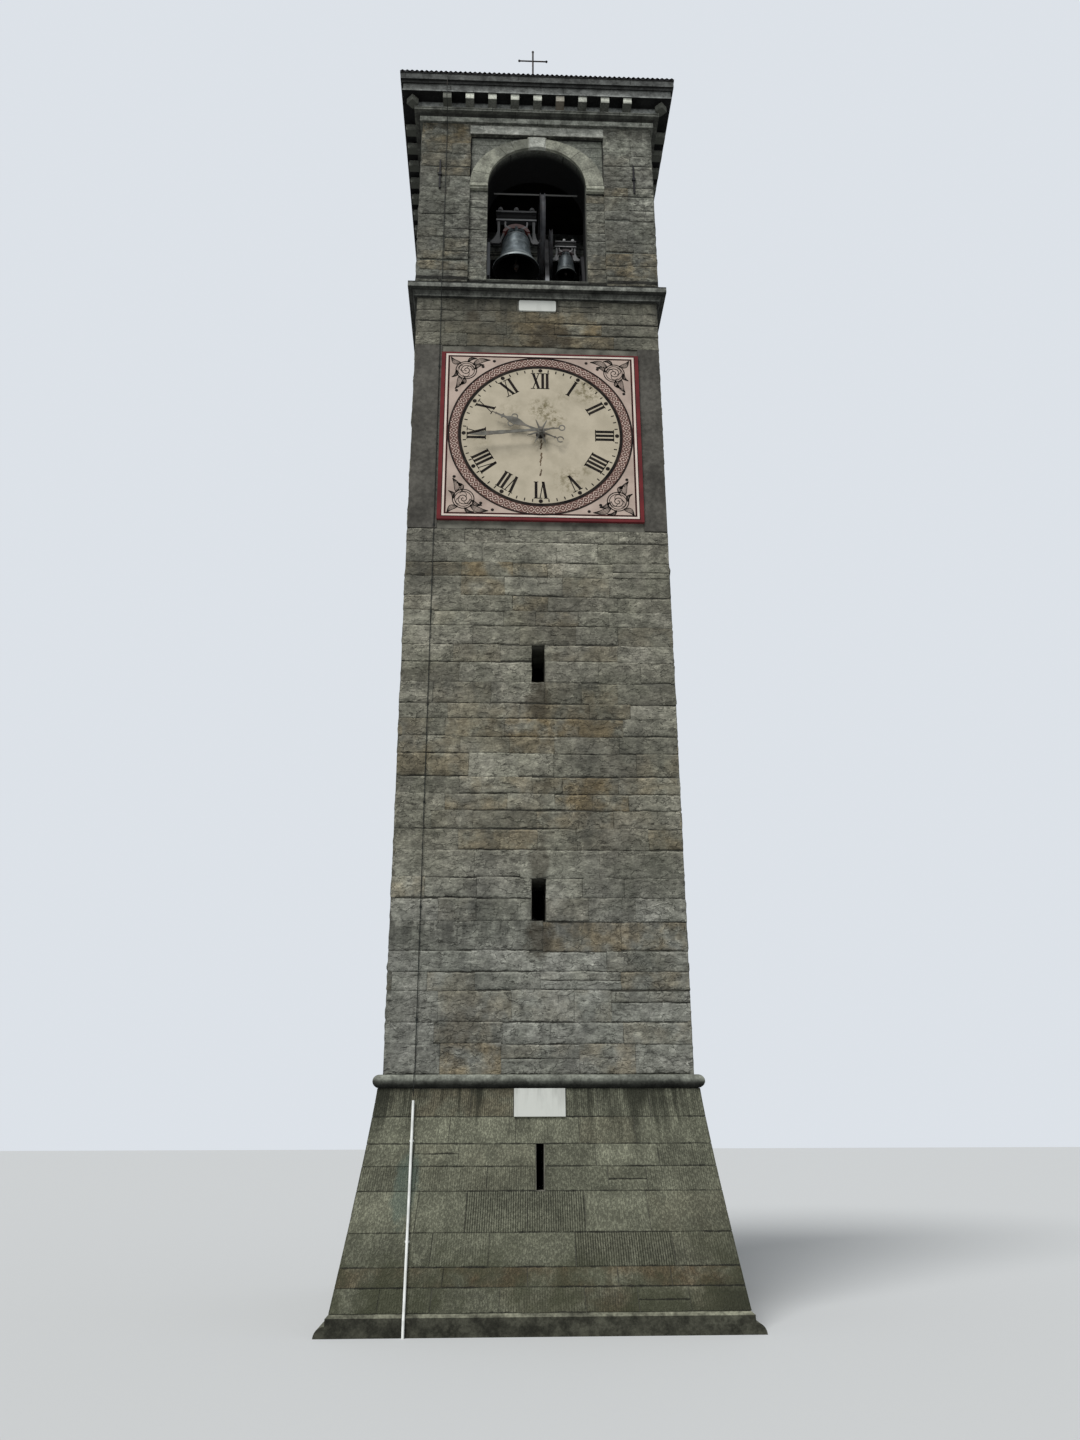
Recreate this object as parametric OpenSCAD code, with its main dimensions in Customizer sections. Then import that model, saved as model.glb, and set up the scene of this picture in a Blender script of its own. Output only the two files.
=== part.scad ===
// Stone bell tower with a battered base, a painted clock face, an arched belfry
// with two balanced bells, a moulded eaves cornice and a low corrugated roof.
// Millimetres. Origin on the ground at the middle of the tower; the clock looks along -Y.

/* [Shaft] */
// Width of the shaft across two opposite faces
shaft_w = 4070; // [3800:10:4400]
// Height of the shaft from the torus course to the belfry cornice
shaft_h = 12610; // [12200:10:13200]
// Thickness of the shaft walls
shaft_wall = 900; // [700:10:1000]
// Width of the upper slit windows
slit_w = 200; // [140:10:300]
// Height of the upper slit windows
slit_h = 615; // [400:5:800]
// Height above ground of the sill of the upper slit
high_slit_z = 8525; // [8000:5:9200]
// Height above ground of the sill of the middle slit
mid_slit_z = 4975; // [4500:5:5400]

/* [Base] */
// Height of the plinth course
plinth_h = 250; // [200:5:320]
// How far the plinth stands out beyond the foot of the battered wall
plinth_step = 45; // [20:5:90]
// Radius of the round mould along the foot of both side faces
side_mould_r = 130; // [80:5:180]
// Height of the battered wall
base_h = 2550; // [2300:10:2800]
// How far the battered wall spreads on each side at its foot
batter_foot = 475; // [350:5:600]
// Part of the spread that is left half way up
batter_flare = 0.46; // [0.40:0.01:0.50]
// Width of the slit in the battered wall
low_slit_w = 100; // [70:5:160]
// Height of the slit in the battered wall
low_slit_h = 550; // [400:5:700]
// Height above ground of the sill of the low slit
low_slit_z = 1575; // [1400:5:1700]
// Height of the torus course
torus_h = 170; // [140:5:220]
// How far the torus stands out beyond the shaft
torus_out = 130; // [90:5:180]

/* [Belfry] */
// Width of the belfry across two opposite faces
belfry_w = 4146; // [4000:2:4240]
// Thickness of the belfry walls
belfry_wall = 800; // [650:10:900]
// Height of the belfry cornice course
belfry_cornice_h = 320; // [280:5:380]
// How far the belfry cornice stands out beyond the shaft
belfry_cornice_out = 165; // [120:5:220]
// Thickness of the belfry floor slabs and sills
floor_t = 60; // [40:5:100]
// Height from the belfry cornice to the springing of the arches
pier_h = 2220; // [2000:10:2400]
// Radius of the arches
arch_r = 880; // [820:5:920]
// Width of the face of the arch rings and jamb strips
ring_w = 320; // [280:5:340]
// Height from the springing to the top of the wall
head_h = 1380; // [1340:5:1500]
// Depth of the recessed panels round the arches
panel_d = 60; // [30:5:90]
// Height of the recessed panels above the springing
panel_h = 1140; // [1120:5:1180]
// Height of the impost blocks
impost_h = 120; // [90:5:160]
// How far the imposts stand out beyond the jamb strips
impost_out = 85; // [65:5:110]
// Rise of the outside curve of the arch rings
ring_rise = 1090; // [1060:5:1110]
// Width of the keystones at the top
keystone_w = 345; // [260:5:400]

/* [Eaves] */
// Height of the architrave course
architrave_h = 235; // [210:5:280]
// How far the architrave stands out beyond the belfry wall
architrave_out = 157; // [120:1:200]
// Height of the main cornice course
cornice_h = 505; // [470:5:560]
// How far the eaves stand out beyond the belfry wall
eaves_out = 412; // [380:2:460]
// Height of the modillion blocks
modillion_h = 125; // [100:5:150]
// Width of the modillion blocks
modillion_w = 150; // [110:5:200]
// Number of modillions on each side between the corner blocks
modillion_n = 9; // [7:2:9]
// Distance between modillions
modillion_pitch = 408; // [380:2:430]

/* [Roof] */
// Rise of the roof from the eaves to the apex
roof_rise = 1030; // [800:10:1300]
// Thickness of the roof deck
deck_t = 60; // [40:5:90]
// Thickness of the roof sheets at their troughs
sheet_t = 10; // [6:1:16]
// Number of waves across each side of the roof
wave_n = 44; // [40:2:50]
// Height of the waves
wave_h = 30; // [16:1:40]
// Height of the cross above the apex
cross_h = 2690; // [2300:10:3000]
// Width of the arms of the cross
cross_w = 580; // [450:10:700]
// Diameter of the bars of the cross
cross_bar_d = 36; // [26:2:50]

/* [Clock] */
// Width of the clock panel
clock_w = 3270; // [3100:10:3400]
// Height of the clock panel
clock_h = 3175; // [3050:5:3300]
// Thickness of the clock panel
clock_t = 55; // [40:5:80]
// Distance of the clock centre to the right of the tower's middle
clock_x = 45; // [0:5:80]
// Distance of the clock centre below the belfry cornice
clock_drop = 2730; // [2650:5:2800]
// Thickness of the render strips beside the clock
render_t = 20; // [12:1:30]
// Distance of the foot of the render strips below the clock centre
render_drop = 1730; // [1700:5:1800]
// Height of the render strips
render_h = 3480; // [3300:10:3600]
// Length of the minute hand from its arbor
minute_len = 1145; // [1000:5:1200]
// Length of the hour hand from its arbor
hour_len = 865; // [760:5:950]
// Thickness of the hands
hand_t = 8; // [5:1:12]
// Minutes past nine shown by the hands at rest
minutes = 44; // [0:0.1:59]
// Degrees by which the hour hand runs ahead of the minute hand
hour_lead = 2.8; // [0:0.1:4]
// Distance of the hour hand in front of the clock panel
hand_stand = 84; // [60:1:100]
// Distance between the two hands
hand_step = 46; // [36:1:60]
// Diameter of the minute hand's arbor
arbor_d = 34; // [24:1:44]
// Running clearance round the arbor and the hour pipe
arbor_gap = 0.5; // [0.3:0.1:0.8]

/* [Plaques] */
// Width of the marble plaque under the belfry cornice
high_plaque_w = 630; // [500:10:800]
// Height of the marble plaque under the belfry cornice
high_plaque_h = 215; // [160:5:260]
// Width of the marble plaque on the battered wall
low_plaque_w = 665; // [500:5:800]
// Height of the marble plaque on the battered wall
low_plaque_h = 350; // [250:5:420]
// Gap between the upper plaque and the belfry cornice
high_plaque_gap = 25; // [5:5:60]
// Gap between the lower plaque and the torus course
low_plaque_gap = 5; // [2:1:20]
// Thickness of the marble plaques
plaque_t = 35; // [20:1:50]

/* [Bells] */
// Mouth diameter of the big bell
big_bell_d = 860; // [780:10:860]
// Mouth diameter of the small bell
small_bell_d = 380; // [340:5:400]
// Height of the big bell from its mouth to its crown
big_bell_h = 790; // [740:5:800]
// Height of the small bell from its mouth to its crown
small_bell_h = 435; // [400:5:440]
// Depth of the big bell's mouth below its axis
big_drop = 640; // [620:5:660]
// Depth of the small bell's mouth below its axis
small_drop = 355; // [340:5:370]
// Length of the big bell's yoke beam
big_yoke_l = 750; // [730:5:760]
// Length of the small bell's yoke beam
small_yoke_l = 390; // [370:5:400]
// Height of the big bell's yoke above its axis
big_yoke_up = 730; // [715:5:735]
// Height of the small bell's yoke above its axis
small_yoke_up = 430; // [420:5:440]
// Radius of the big bell's wheel
big_wheel_r = 855; // [780:5:855]
// Radius of the small bell's wheel
small_wheel_r = 520; // [420:5:560]
// Height of the big bell's axis above the belfry floor
big_axis_up = 1750; // [1650:5:1780]
// Height of the small bell's axis above the belfry floor
small_axis_up = 1380; // [1250:5:1500]
// Distance of the bells' axis in front of the middle of the tower
bell_y = 1100; // [1050:5:1120]
// Distance of the big bell to the left of the tower's middle
big_bell_x = 352; // [346:1:358]
// Distance of the small bell to the right of the tower's middle
small_bell_x = 565; // [555:5:575]
// Diameter of the big bell's journals
big_journal_d = 60; // [50:1:70]
// Diameter of the small bell's journals
small_journal_d = 36; // [28:1:44]
// Running clearance in the bearings
journal_gap = 0.5; // [0.3:0.1:0.8]
// Width of the middle trestle's posts
post_w = 70; // [50:5:80]
// Width of the posts beside the jambs
side_post_w = 50; // [40:5:55]
// Distance of the middle trestle to the right of the tower's middle
mid_post_x = 200; // [195:5:205]

/* [Ironwork] */
// Diameter of the tie rods across the arches
tie_d = 28; // [20:1:36]
// Height of the tie rods above the springing
tie_up = 410; // [390:5:440]
// Distance of the tie rods behind the wall face
tie_back = 633; // [600:1:660]
// Length of the anchor bars on the corner piers
anchor_l = 640; // [450:10:800]
// Distance of the anchor bars beyond the conductor's axis
anchor_gap = 103; // [80:1:160]
// Diameter of the lightning conductor
conductor_d = 12; // [8:1:20]
// Distance of the conductor's axis beyond the left edge of the clock panel
conductor_gap = 40; // [30:5:80]
// Distance between the conductor and the wall
conductor_off = 36; // [24:1:50]
// Diameter of the guard pipe round the foot of the conductor
guard_d = 34; // [26:1:44]

/* [Hidden] */

stone = [0.42, 0.42, 0.38];
pale_stone = [0.62, 0.60, 0.52];
iron = [0.16, 0.16, 0.17];
bronze = [0.33, 0.38, 0.35];

// Half widths of the walls, inside and out
shaft_half = shaft_w / 2;
shaft_in = shaft_half - shaft_wall;
belfry_half = belfry_w / 2;
chamber_half = belfry_half - belfry_wall;
recess_half = belfry_half - panel_d;
strip_half = arch_r + ring_w;
base_foot = shaft_half + batter_foot;
base_head = shaft_half + 60;
plinth_half = base_foot + plinth_step;

// Levels, from the ground up
torus_z = plinth_h + base_h;
shaft_z = torus_z + torus_h;
cornice_z = shaft_z + shaft_h;
pier_z = cornice_z + belfry_cornice_h;
floor_z = pier_z + floor_t;
spring_z = pier_z + pier_h;
wall_top = spring_z + head_h;
frieze_z = wall_top + architrave_h;
eaves_z = frieze_z + cornice_h;
eaves_half = belfry_half + eaves_out;
apex_z = eaves_z + roof_rise;

// Dressing of the mouldings
round_fn = 64;
moulding_steps = 8;
batter_steps = 6;
seat = 0.3;
cross_cap_half = 110;

// The eaves cornice, member by member
frieze_half = belfry_half + architrave_out - 20;
soffit_z = frieze_z + modillion_h + 5;
corona_half = eaves_half - 45;
modillion_front = corona_half - 20;

// Clock
clock_z = cornice_z - clock_drop;
render_z = clock_z - render_drop;
wall_face = -shaft_half;
panel_face = wall_face - clock_t;
boss_r = 78;
boss_t = 14;
pipe_wall = 12;
pipe_r = arbor_d / 2 + arbor_gap + pipe_wall;
bore_r = pipe_r + arbor_gap;
hand_gap = 12;
hour_y = panel_face - hand_stand;
minute_y = hour_y - hand_t - hand_step;
minute_angle = minutes * 6;
hour_angle = (9 + minutes / 60) * 30 + hour_lead;
arbor_root = wall_face - 1;

// Bells
axis_y = -bell_y;
big_axis = floor_z + big_axis_up;
small_axis = floor_z + small_axis_up;
big_r = big_bell_d / 2;
small_r = small_bell_d / 2;
side_post_x = arch_r - side_post_w / 2 - seat;
big_wheel_w = 88;
small_wheel_w = 56;
wheel_gap = 10;
big_wheel_x = mid_post_x - post_w / 2 - wheel_gap - big_wheel_w;
small_wheel_x = mid_post_x + post_w / 2 + wheel_gap;

// Plaques, conductor and ties
high_plaque_z = cornice_z - high_plaque_gap - high_plaque_h;
low_plaque_z = torus_z - low_plaque_gap - low_plaque_h;
conductor_x = clock_w / 2 - clock_x + conductor_gap;
tie_z = spring_z + tie_up;
tie_y = belfry_half - tie_back;
anchor_x = conductor_x + anchor_gap;
anchor_z = spring_z + 150;

// One side of a mitred course: the profile [[half, z], ...] run along a face and cut at
// 45 degrees where it meets its neighbours. Side 0 is the front, then right, back, left.
module mitred(profile, side = 0) {
  reach = max([for (p = profile) p[0]]) + 10;
  low = min([for (p = profile) p[1]]);
  high = max([for (p = profile) p[1]]);
  rotate([0, 0, 90 * side])
    intersection() {
      rotate([90, 0, 90])
        linear_extrude(2 * reach, center = true)
          polygon([for (p = profile) [-p[0], p[1]]]);
      translate([0, 0, low])
        linear_extrude(high - low)
          polygon([[0, 0], [-reach, -reach], [reach, -reach]]);
    }
}

// A whole course of the same profile round all four sides
module course(profile) {
  rotate([0, 0, 45])
    rotate_extrude($fn = 4)
      polygon([for (p = profile) [p[0] * sqrt(2), p[1]]]);
}

// Points of a quarter round from one point to another, bulging out or hollowed in
function quarter(from, to, hollow = false) = [for (i = [0:moulding_steps])
  let (a = 90 * i / moulding_steps)
  hollow ? [from[0] + (to[0] - from[0]) * (1 - cos(a)), from[1] + (to[1] - from[1]) * sin(a)]
         : [from[0] + (to[0] - from[0]) * sin(a), from[1] + (to[1] - from[1]) * (1 - cos(a))]];

module on_sides(sides = [0, 1, 2, 3]) {
  for (k = sides) rotate([0, 0, 90 * k]) children();
}

// A slit window cut through the front and the back wall
module slit(w, h, z, depth) {
  translate([-w / 2, -depth - 10, z]) cube([w, depth, h]);
}

module plinth() {
  color(stone) union() {
    course([[shaft_in, 0], [plinth_half, 0], [plinth_half, plinth_h - 40],
      [base_foot, plinth_h - seat], [shaft_in, plinth_h - seat]]);
    for (s = [-1, 1])
      translate([s * plinth_half, 0, 0])
        rotate([90, 0, 0])
          linear_extrude(2 * plinth_half, center = true)
            intersection() {
              circle(side_mould_r, $fn = round_fn);
              translate([s > 0 ? 0 : -side_mould_r, 0]) square(side_mould_r);
            }
  }
}

// The battered wall flares gently towards its foot, in flat lifts
function flare(t) = base_head + (base_foot - base_head) * pow(1 - t, -ln(batter_flare) / ln(2));
function batter(t) = let (i = min(floor(t * batter_steps), batter_steps - 1), u = t * batter_steps - i)
  flare(i / batter_steps) * (1 - u) + flare((i + 1) / batter_steps) * u;

module base_wall(side) {
  color(stone) difference() {
    mitred(concat([[shaft_in, plinth_h]],
      [for (i = [0:batter_steps]) let (t = i / batter_steps) [flare(t), plinth_h + base_h * t]],
      [[shaft_in, torus_z]]), side);
    if (side % 2 == 0) rotate([0, 0, 90 * side])
      slit(low_slit_w, low_slit_h, low_slit_z, base_foot);
  }
}

module torus_course() {
  r = torus_h / 2;
  out = shaft_half + torus_out - r;
  color(stone) course(concat([[shaft_in, torus_z + seat]],
    [for (i = [0:2 * moulding_steps]) let (a = -90 + 90 * i / moulding_steps)
      [out + r * cos(a), torus_z + r + (r - seat) * sin(a)]],
    [[shaft_in, shaft_z - seat]]));
}

module shaft_wall(side) {
  color(stone) difference() {
    mitred([[shaft_in, shaft_z], [shaft_half, shaft_z], [shaft_half, cornice_z],
      [shaft_in, cornice_z]], side);
    if (side % 2 == 0) rotate([0, 0, 90 * side]) {
      slit(slit_w, slit_h, high_slit_z, shaft_half);
      slit(slit_w, slit_h, mid_slit_z, shaft_half);
    }
  }
}

// Bed mould, fillet and weathered top of the course under the belfry
module belfry_cornice() {
  out = shaft_half + belfry_cornice_out;
  bed = shaft_half + 60;
  slab_z = cornice_z + 110;
  color(stone) course(concat(
    [[shaft_in, cornice_z + seat], [bed, cornice_z + seat], [bed, cornice_z + 30]],
    quarter([bed + 5, cornice_z + 30], [out - 40, slab_z], true),
    [[out, slab_z], [out, slab_z + 105], [belfry_half, pier_z - seat], [shaft_in, pier_z - seat]]));
}

// Floor slabs that run out through the arches as sills
module belfry_floor() {
  sill = belfry_half + 25;
  room = chamber_half - seat;
  way = arch_r - seat;
  well = shaft_in - seat;
  color(stone) union() {
    translate([-room, -room, pier_z]) cube([2 * room, 2 * room, floor_t]);
    translate([-way, -sill, pier_z]) cube([2 * way, 2 * sill, floor_t]);
    translate([-sill, -way, pier_z]) cube([2 * sill, 2 * way, floor_t]);
    translate([-well, -well, pier_z - 2 * floor_t]) cube([2 * well, 2 * well, 2 * floor_t + 1]);
  }
}

// Corner pier: two pilasters with the recessed jamb strips beside them
module belfry_pier(corner) {
  color(stone) rotate([0, 0, 90 * corner])
    translate([0, 0, pier_z])
      linear_extrude(pier_h)
        polygon([[-belfry_half, -belfry_half], [-strip_half, -belfry_half],
          [-strip_half, -recess_half], [-arch_r, -recess_half], [-arch_r, -chamber_half],
          [-chamber_half, -chamber_half], [-chamber_half, -arch_r],
          [-recess_half, -arch_r], [-recess_half, -strip_half], [-belfry_half, -strip_half]]);
}

module belfry_head(side) {
  color(stone) difference() {
    mitred([[chamber_half, spring_z], [belfry_half, spring_z], [belfry_half, wall_top],
      [chamber_half, wall_top]], side);
    rotate([0, 0, 90 * side]) {
      translate([-strip_half, -belfry_half - 10, spring_z - 10])
        cube([2 * strip_half, panel_d + 10, panel_h + 10]);
      translate([0, 10 - chamber_half, spring_z])
        rotate([90, 0, 0]) cylinder(r = arch_r, h = belfry_wall + 20, $fn = round_fn);
    }
  }
}

// Arch ring, keystone and imposts of one arch, standing on the recessed panel
module arch_ring() {
  proud = 12;
  face = panel_d - 8;
  top_half = keystone_w / 2;
  foot_half = top_half * 0.9;
  key_top = min(ring_rise + 15, panel_h - 5);
  translate([0, -recess_half, spring_z]) rotate([90, 0, 0]) {
    linear_extrude(face) difference() {
      intersection() {
        polygon([for (i = [0:2 * moulding_steps * 2]) let (a = 180 * i / (4 * moulding_steps))
          [strip_half * cos(a), ring_rise * sin(a)]]);
        translate([-strip_half, 0]) square([2 * strip_half, ring_rise]);
      }
      circle(arch_r, $fn = round_fn);
    }
    linear_extrude(face + proud) difference() {
      polygon([[-foot_half, arch_r - 60], [foot_half, arch_r - 60],
        [top_half, key_top], [-top_half, key_top]]);
      circle(arch_r, $fn = round_fn);
    }
  }
  for (s = [-1, 1])
    translate([s * (arch_r + ring_w / 2), 0, spring_z - impost_h]) {
      translate([-ring_w / 2, -recess_half - impost_out + 20, 0])
        cube([ring_w, impost_out - 20, impost_h]);
      translate([-ring_w / 2, -recess_half - impost_out, impost_h * 0.4])
        cube([ring_w, impost_out, impost_h * 0.6]);
    }
}

module arch_rings() {
  color(pale_stone) on_sides() arch_ring();
}

// Architrave: lower fillet, hollow and upper fillet
module architrave() {
  low = belfry_half + architrave_out - 100;
  high = belfry_half + architrave_out;
  color(stone) course(concat(
    [[chamber_half, wall_top + seat], [low, wall_top + seat], [low, wall_top + 110]],
    quarter([low - 30, wall_top + 110], [high - 40, wall_top + 160], true),
    [[high, wall_top + 160], [high, frieze_z - seat], [chamber_half, frieze_z - seat]]));
}

module modillion(x) {
  translate([x - modillion_w / 2, -modillion_front, frieze_z + seat])
    cube([modillion_w, modillion_front - frieze_half, soffit_z - frieze_z - seat]);
}

// Blocks under the corona, with a turned one at each corner
module modillions() {
  color(pale_stone) on_sides() {
    for (i = [0:modillion_n - 1]) modillion((i - (modillion_n - 1) / 2) * modillion_pitch);
    rotate([0, 0, -45])
      translate([-modillion_w / 2, -modillion_front * sqrt(2) + modillion_w, frieze_z + seat])
        cube([modillion_w, (modillion_front - frieze_half) * sqrt(2) - modillion_w,
          soffit_z - frieze_z - seat]);
  }
}

// Frieze behind the modillions, corona, and the crown mould that carries the roof
module main_cornice() {
  crown_z = soffit_z + 180;
  color(stone) course(concat(
    [[chamber_half, frieze_z], [frieze_half, frieze_z], [frieze_half, soffit_z],
      [corona_half, soffit_z], [corona_half, soffit_z + 30],
      [corona_half - 12, soffit_z + 30], [corona_half - 12, crown_z]],
    quarter([corona_half + 10, crown_z], [eaves_half - 5, crown_z + 60], true),
    [[eaves_half - 5, eaves_z], [chamber_half, eaves_z]]));
}

// Boarded slopes that meet along the hips, with a hairline between them
module roof_deck() {
  slope = roof_rise / eaves_half;
  drop = deck_t * sqrt(1 + slope * slope);
  color([0.30, 0.24, 0.19]) for (k = [0:3]) rotate([0, 0, 90 * k]) translate([0, -seat, 0])
    mitred([[0, apex_z - drop], [eaves_half - seat - drop / slope, eaves_z + seat],
      [eaves_half - seat, eaves_z + seat], [0, apex_z]]);
}

// Corrugated sheets: on each slope the waves run up it and end along its two hips. Lines
// are numbered across the eaves; each one climbs straight to its own point on a hip.
lines_per_wave = 6;
wave_lines = wave_n * lines_per_wave;
wave_half = wave_lines / 2;
sheet_half = eaves_half + 5;
sheet_top = sheet_t + wave_h;
function line_x(i) = sheet_half * (i - wave_half) / wave_half;
function deck_level(reach) = eaves_z + (eaves_half - reach) * roof_rise / eaves_half;
function line_z(reach, i) = deck_level(reach) + sheet_t
  + wave_h / 2 * (1 + cos(360 * (i - wave_half) / lines_per_wave));

// One slope, with a point under each trough so that all its faces stay flat
module slope_sheet() {
  row = wave_lines + 1;
  feet = [for (i = [0:wave_lines]) [line_x(i), -sheet_half, line_z(sheet_half, i)]];
  heads = [for (i = [0:wave_lines]) let (x = line_x(i)) [x, -abs(x), line_z(abs(x), i)]];
  foot_under = [for (j = [0:wave_n]) [line_x(j * lines_per_wave), -sheet_half, deck_level(sheet_half)]];
  head_under = [for (j = [0:wave_n]) let (x = line_x(j * lines_per_wave)) [x, -abs(x), deck_level(abs(x))]];
  function foot(i) = i;
  function head(i) = i == 0 || i == wave_lines ? i : row + i;
  function low_foot(j) = 2 * row + j;
  function low_head(j) = j == 0 || j == wave_n ? low_foot(j) : 2 * row + wave_n + 1 + j;
  // A face without the points that fall together at the corners
  function tidy(face) = [for (i = [0:len(face) - 1]) if (face[i] != face[(i + 1) % len(face)]) face[i]];
  polyhedron(points = concat(feet, heads, foot_under, head_under), faces = concat(
    [for (i = [0:wave_lines - 1]) tidy([foot(i), head(i), head(i + 1), foot(i + 1)])],
    [for (j = [0:wave_n - 1]) concat([low_foot(j)],
      [for (i = [0:lines_per_wave]) foot(j * lines_per_wave + i)], [low_foot(j + 1)])],
    [for (j = [0:wave_n - 1]) tidy(concat([low_head(j + 1)],
      [for (i = [lines_per_wave:-1:0]) head(j * lines_per_wave + i)], [low_head(j)]))],
    [for (j = [0:wave_n - 1]) tidy([low_foot(j), low_foot(j + 1), low_head(j + 1), low_head(j)])]));
}

// Bent capping over a hip, lying on the crests of both slopes
module hip_cap() {
  wing = 130;
  plate = 6;
  bed = sheet_top + seat;
  start = cross_cap_half * sqrt(2) + 4;
  intersection() {
    rotate([0, 0, 45]) rotate_extrude($fn = 4)
      polygon([for (p = [[0, apex_z + bed], [sheet_half, deck_level(sheet_half) + bed],
        [sheet_half, deck_level(sheet_half) + bed + plate], [0, apex_z + bed + plate]])
        [p[0] * sqrt(2), p[1]]]);
    rotate([0, 0, -45]) translate([start, -wing, eaves_z - roof_rise])
      cube([sheet_half * sqrt(2), 2 * wing, 3 * roof_rise]);
  }
}

module roof_sheets() {
  color([0.24, 0.23, 0.22]) on_sides() {
    translate([0, -seat, 0]) slope_sheet();
    hip_cap();
  }
}

// Iron cross on a square cap that lies on the crests of the sheets
module roof_cross() {
  r = cross_bar_d / 2;
  arms_z = apex_z + cross_h - cross_w * 0.46;
  cap_z = apex_z + sheet_top + seat;
  rim_z = cap_z - cross_cap_half * roof_rise / eaves_half;
  color(iron) union() {
    rotate([0, 0, 45]) rotate_extrude($fn = 4)
      polygon([for (p = [[0, cap_z], [cross_cap_half, rim_z], [cross_cap_half, rim_z + 25],
        [r, cap_z + 130], [0, cap_z + 130]]) [p[0] * sqrt(2), p[1]]]);
    translate([0, 0, cap_z + 20]) cylinder(r = r, h = apex_z + cross_h - cap_z - 20, $fn = 24);
    translate([-cross_w / 2, 0, arms_z]) rotate([0, 90, 0]) cylinder(r = r * 0.8, h = cross_w, $fn = 24);
    for (s = [-1, 1]) translate([s * cross_w / 2, 0, arms_z]) sphere(r * 1.4, $fn = 20);
    translate([0, 0, apex_z + cross_h]) sphere(r * 1.4, $fn = 20);
  }
}

// Smooth render on the wall beside the clock, out to the corners
module render_strips() {
  for (s = [-1, 1]) {
    edge = clock_x * s + clock_w / 2;
    color([0.30, 0.30, 0.29]) translate([s > 0 ? edge : -shaft_half, wall_face - render_t, render_z])
      cube([shaft_half - edge, render_t, render_h]);
  }
}

module clock_panel() {
  color([0.78, 0.72, 0.62]) translate([clock_x, wall_face, clock_z]) rotate([90, 0, 0])
    difference() {
      translate([-clock_w / 2, -clock_h / 2, 0]) cube([clock_w, clock_h, clock_t]);
      translate([0, 0, -1]) cylinder(r = bore_r, h = clock_t + 2, $fn = round_fn);
    }
}

// Flange on the dial, with the neck that the hour hand's pipe runs in
module arbor_boss() {
  neck = hand_stand - hand_gap;
  color(iron) translate([clock_x, panel_face, clock_z]) rotate([90, 0, 0])
    difference() {
      union() {
        cylinder(r = boss_r, h = boss_t, $fn = round_fn);
        cylinder(r = bore_r + pipe_wall, h = neck, $fn = round_fn);
      }
      translate([0, 0, -1]) cylinder(r = bore_r, h = neck + 2, $fn = round_fn);
    }
}

// Places a hand drawn pointing up: turned clockwise, its back at the given y
module hand_at(y, angle) {
  translate([clock_x, y, clock_z]) rotate([90, 0, 0]) rotate([0, 0, -angle])
    linear_extrude(hand_t) children();
}

// Outline with the same half widths [[half width, distance], ...] on both sides
module blade(half_widths) {
  n = len(half_widths);
  polygon(concat([for (p = half_widths) [p[0], p[1]]],
    [for (i = [n - 1:-1:0]) [-half_widths[i][0], half_widths[i][1]]]));
}

module ring(r, wall) {
  difference() {
    circle(r, $fn = 40);
    circle(r - wall, $fn = 40);
  }
}

// Hour hand: pierced spade with a barbed tip, a star round its pipe and a crescent tail
module hour_hand() {
  star_r = 236;
  collar = 20;
  color(iron) difference() {
    union() {
      hand_at(hour_y, hour_angle) {
        blade([for (p = [[24, 0], [22, 0.14], [14, 0.25], [20, 0.33], [50, 0.42], [66, 0.5], [64, 0.58],
          [44, 0.655], [19, 0.71], [17, 0.755], [50, 0.79], [15, 0.81], [12, 0.9], [22, 0.925],
          [8, 0.94], [2, 1]]) [p[0], p[1] * hour_len]]);
        for (s = [-1, 1]) translate([s * 74, hour_len * 0.576]) ring(54, 17);
        for (i = [1:7]) rotate(i * 45) blade([[17, 40], [15, 100], [10, 180], [3, star_r]]);
        rotate(180) blade([[11, 40], [9, 235], [26, 252], [9, 262], [9, 300]]);
        translate([0, -349]) difference() {
          ring(57, 17);
          translate([-22, -70]) square([44, 60]);
        }
        circle(66, $fn = round_fn);
      }
      translate([clock_x, arbor_root, clock_z]) rotate([90, 0, 0])
        cylinder(r = pipe_r, h = arbor_root - hour_y + hand_t + collar, $fn = round_fn);
    }
    translate([clock_x, wall_face + 20, clock_z]) rotate([90, 0, 0])
      cylinder(r = arbor_d / 2 + arbor_gap, h = 400, $fn = round_fn);
  }
}

// Minute hand: long wavy blade with a ring at its tail, on the middle arbor
module minute_hand() {
  color(iron) union() {
    hand_at(minute_y, minute_angle) {
      blade([for (p = [[26, 0], [25, 0.13], [22, 0.22], [29, 0.35], [25, 0.44], [37, 0.565],
        [31, 0.65], [41, 0.77], [36, 0.83], [22, 0.9], [2, 1]]) [p[0], p[1] * minute_len]]);
      rotate(180) blade([[11, 30], [9, 291]]);
      translate([0, -341]) ring(55, 17);
      circle(52, $fn = round_fn);
    }
    translate([clock_x, arbor_root, clock_z]) rotate([90, 0, 0])
      cylinder(d = arbor_d, h = arbor_root - minute_y + hand_t, $fn = round_fn);
    translate([clock_x, minute_y - hand_t, clock_z]) rotate([90, 0, 0])
      cylinder(r1 = 34, r2 = 18, h = 22, $fn = round_fn);
  }
}

module plaque_plate(w, h, r) {
  linear_extrude(plaque_t) union() {
    translate([-w / 2 + r, 0]) square([w - 2 * r, h]);
    translate([-w / 2, r]) square([w, h - 2 * r]);
    for (x = [-1, 1], z = [0, 1])
      translate([x * (w / 2 - r), r + z * (h - 2 * r)]) circle(r, $fn = 32);
  }
}

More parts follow.
